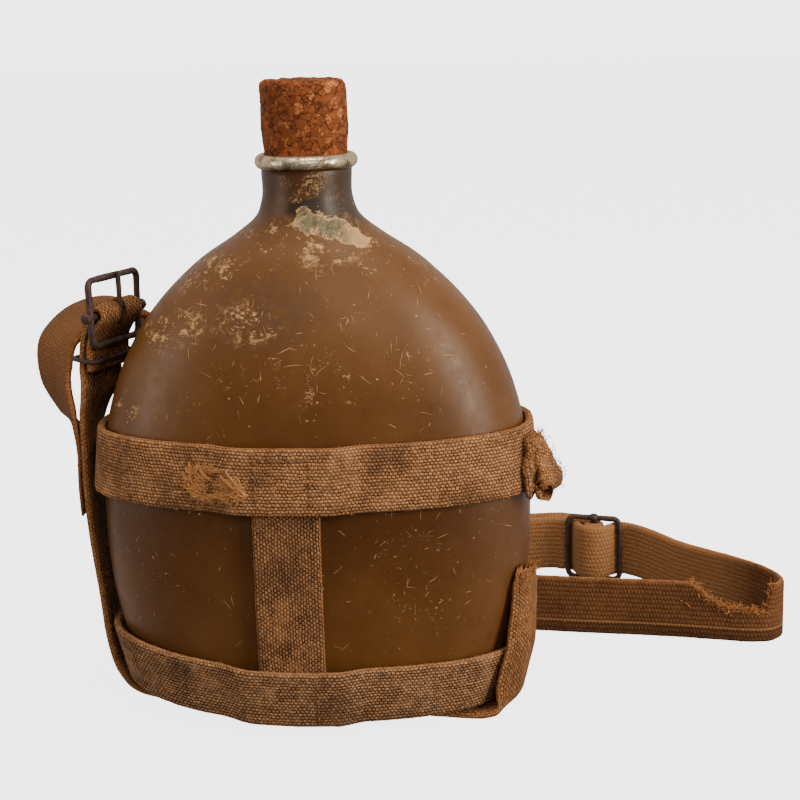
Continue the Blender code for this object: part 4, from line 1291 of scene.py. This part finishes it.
def edge_fuzz():
    """Loose fibres along the carrier's worn edges and its torn right end."""
    rng = random.Random(53)
    paths = []
    for _ in range(620):
        band = rng.choice(["upper", "upper", "lower"])
        width = BANDS[band][1]
        high = rng.random() < 0.6
        angle = rng.uniform(0, TAU)
        up = (width / 2 - 0.3) * (1 if high else -1)
        start = band_point(band, angle, up, rng.uniform(-1.0, 1.1))
        outward = start - band_point(band, angle, up, -3)
        heading = outward / 3 * 0.4 + np.array((rng.gauss(0, 0.7), rng.gauss(0, 0.7), 0.6 if high else -0.35))
        paths.append(fibre(rng, start, heading, rng.uniform(0.4, 1.1), 1.0, steps=4))
    for _ in range(220):
        across = rng.uniform(-10.4, 6.4)
        start = (72.1 + 0.276 * across + rng.uniform(-1.3, 1.5), -9.5 + 0.961 * across, rng.uniform(46.5, 49.3))
        heading = (rng.gauss(0.1, 0.6), rng.gauss(0, 0.6), 1)
        paths.append(fibre(rng, start, heading, rng.uniform(0.8, 2.6), 1.6))
    paths = [path for path in paths if min(p[2] for p in path) > 0.3]
    fibres("edge_fibres", paths, rng, thick=(0.07, 0.15))


# ---- set

CAMERA_PLACE = (68.7, -569.0, 236.0)
CAMERA_TARGET = (28.9, 0.0, 105.0)
CAMERA_ROLL = math.radians(-1.34)
SENSOR_MM = 36.0
LENS_MM = 78.4
LIT_PLACE_M = (0, 0, 0.1)
BACKGROUND_LIGHT = 3.85
FLOOR_LIT = 0.25


def make_camera():
    data = bpy.data.cameras.new("camera")
    data.sensor_width, data.lens = SENSOR_MM, LENS_MM
    data.clip_start, data.clip_end = 0.01, 20
    camera = link("camera", data)
    here, there = Vector(CAMERA_PLACE) * MM, Vector(CAMERA_TARGET) * MM
    forward = (there - here).normalized()
    level = forward.cross(Vector((0, 0, 1))).normalized()
    above = level.cross(forward)
    right = math.cos(CAMERA_ROLL) * level + math.sin(CAMERA_ROLL) * above
    up = -math.sin(CAMERA_ROLL) * level + math.cos(CAMERA_ROLL) * above
    turn = Matrix((right, up, -forward)).transposed().to_4x4()
    camera.matrix_world = Matrix.Translation(here) @ turn
    bpy.context.scene.camera = camera


def make_lights():
    for name, place_m, size, power in (
        ("key", (1.05, -0.55, 0.45), (0.4, 0.9), 18),
        ("fill", (-1.05, -0.5, 0.3), (0.4, 0.7), 4.5),
        ("top", (0.05, -0.25, 1.3), (0.9, 0.6), 11),
        ("front", (0.3, -1.6, 1.0), (0.9, 0.5), 7),
    ):
        data = bpy.data.lights.new(name, "AREA")
        data.shape = "RECTANGLE"
        data.size, data.size_y = size
        data.energy = power
        light = link(name, data)
        light.location = place_m
        light.rotation_euler = (Vector(LIT_PLACE_M) - Vector(place_m)).to_track_quat("-Z", "Y").to_euler()


def make_world():
    """Bright all round for the camera; for the object, dim in front and bright at the sides and above."""
    g = Graph(bpy.data.worlds.new("studio"))
    _, y, _ = g.split(g.node("TexCoord", (), ("Generated",)))
    lit = g.node("Background", {"Strength": g.fade(y, -0.75, 0.2, 0.16, 0.85)})
    shown = g.node("Background", {"Color": (*[BACKGROUND_LIGHT] * 3, 1)})
    seen = g.node("LightPath", (), ("Is Camera Ray",))
    g.fill(g.tree.nodes["World Output"], {"Surface": g.node("MixShader", (seen, lit, shown))})
    bpy.context.scene.world = g.owner


def make_floor():
    """A bright floor that the object doesn't pick up in its own light."""

    def disc(shape):
        bmesh.ops.create_circle(shape, cap_ends=True, segments=64, radius=6.0)

    mesh = edited(bpy.data.meshes.new("floor"), disc)
    g = Graph(bpy.data.materials.new("pale_floor"))
    inputs = {"Base Color": (*[0.3] * 3, 1), "Roughness": 1.0, "Specular IOR Level": 0.0}
    inputs.update({"Emission Color": (1, 1, 1, 1), "Emission Strength": BACKGROUND_LIGHT - FLOOR_LIT})
    g.fill(g.tree.nodes["Principled BSDF"], inputs)
    mesh.materials.append(g.owner)
    floor = link("floor", mesh)
    floor.visible_diffuse = floor.visible_glossy = False


make_flask()
make_scratches()
make_cork()
make_bands()
make_cradle()
make_sling()
make_buckle()
make_stub()
strap_web, strap_frays, strap_route = make_shoulder_strap()
on_strap = [strap_frays] + make_short_strap() + make_slider() + make_stitches()
declare_shoulder_strap(strap_route)
make_worn_patch()
edge_fuzz()
make_world()
make_floor()
make_lights()
make_camera()
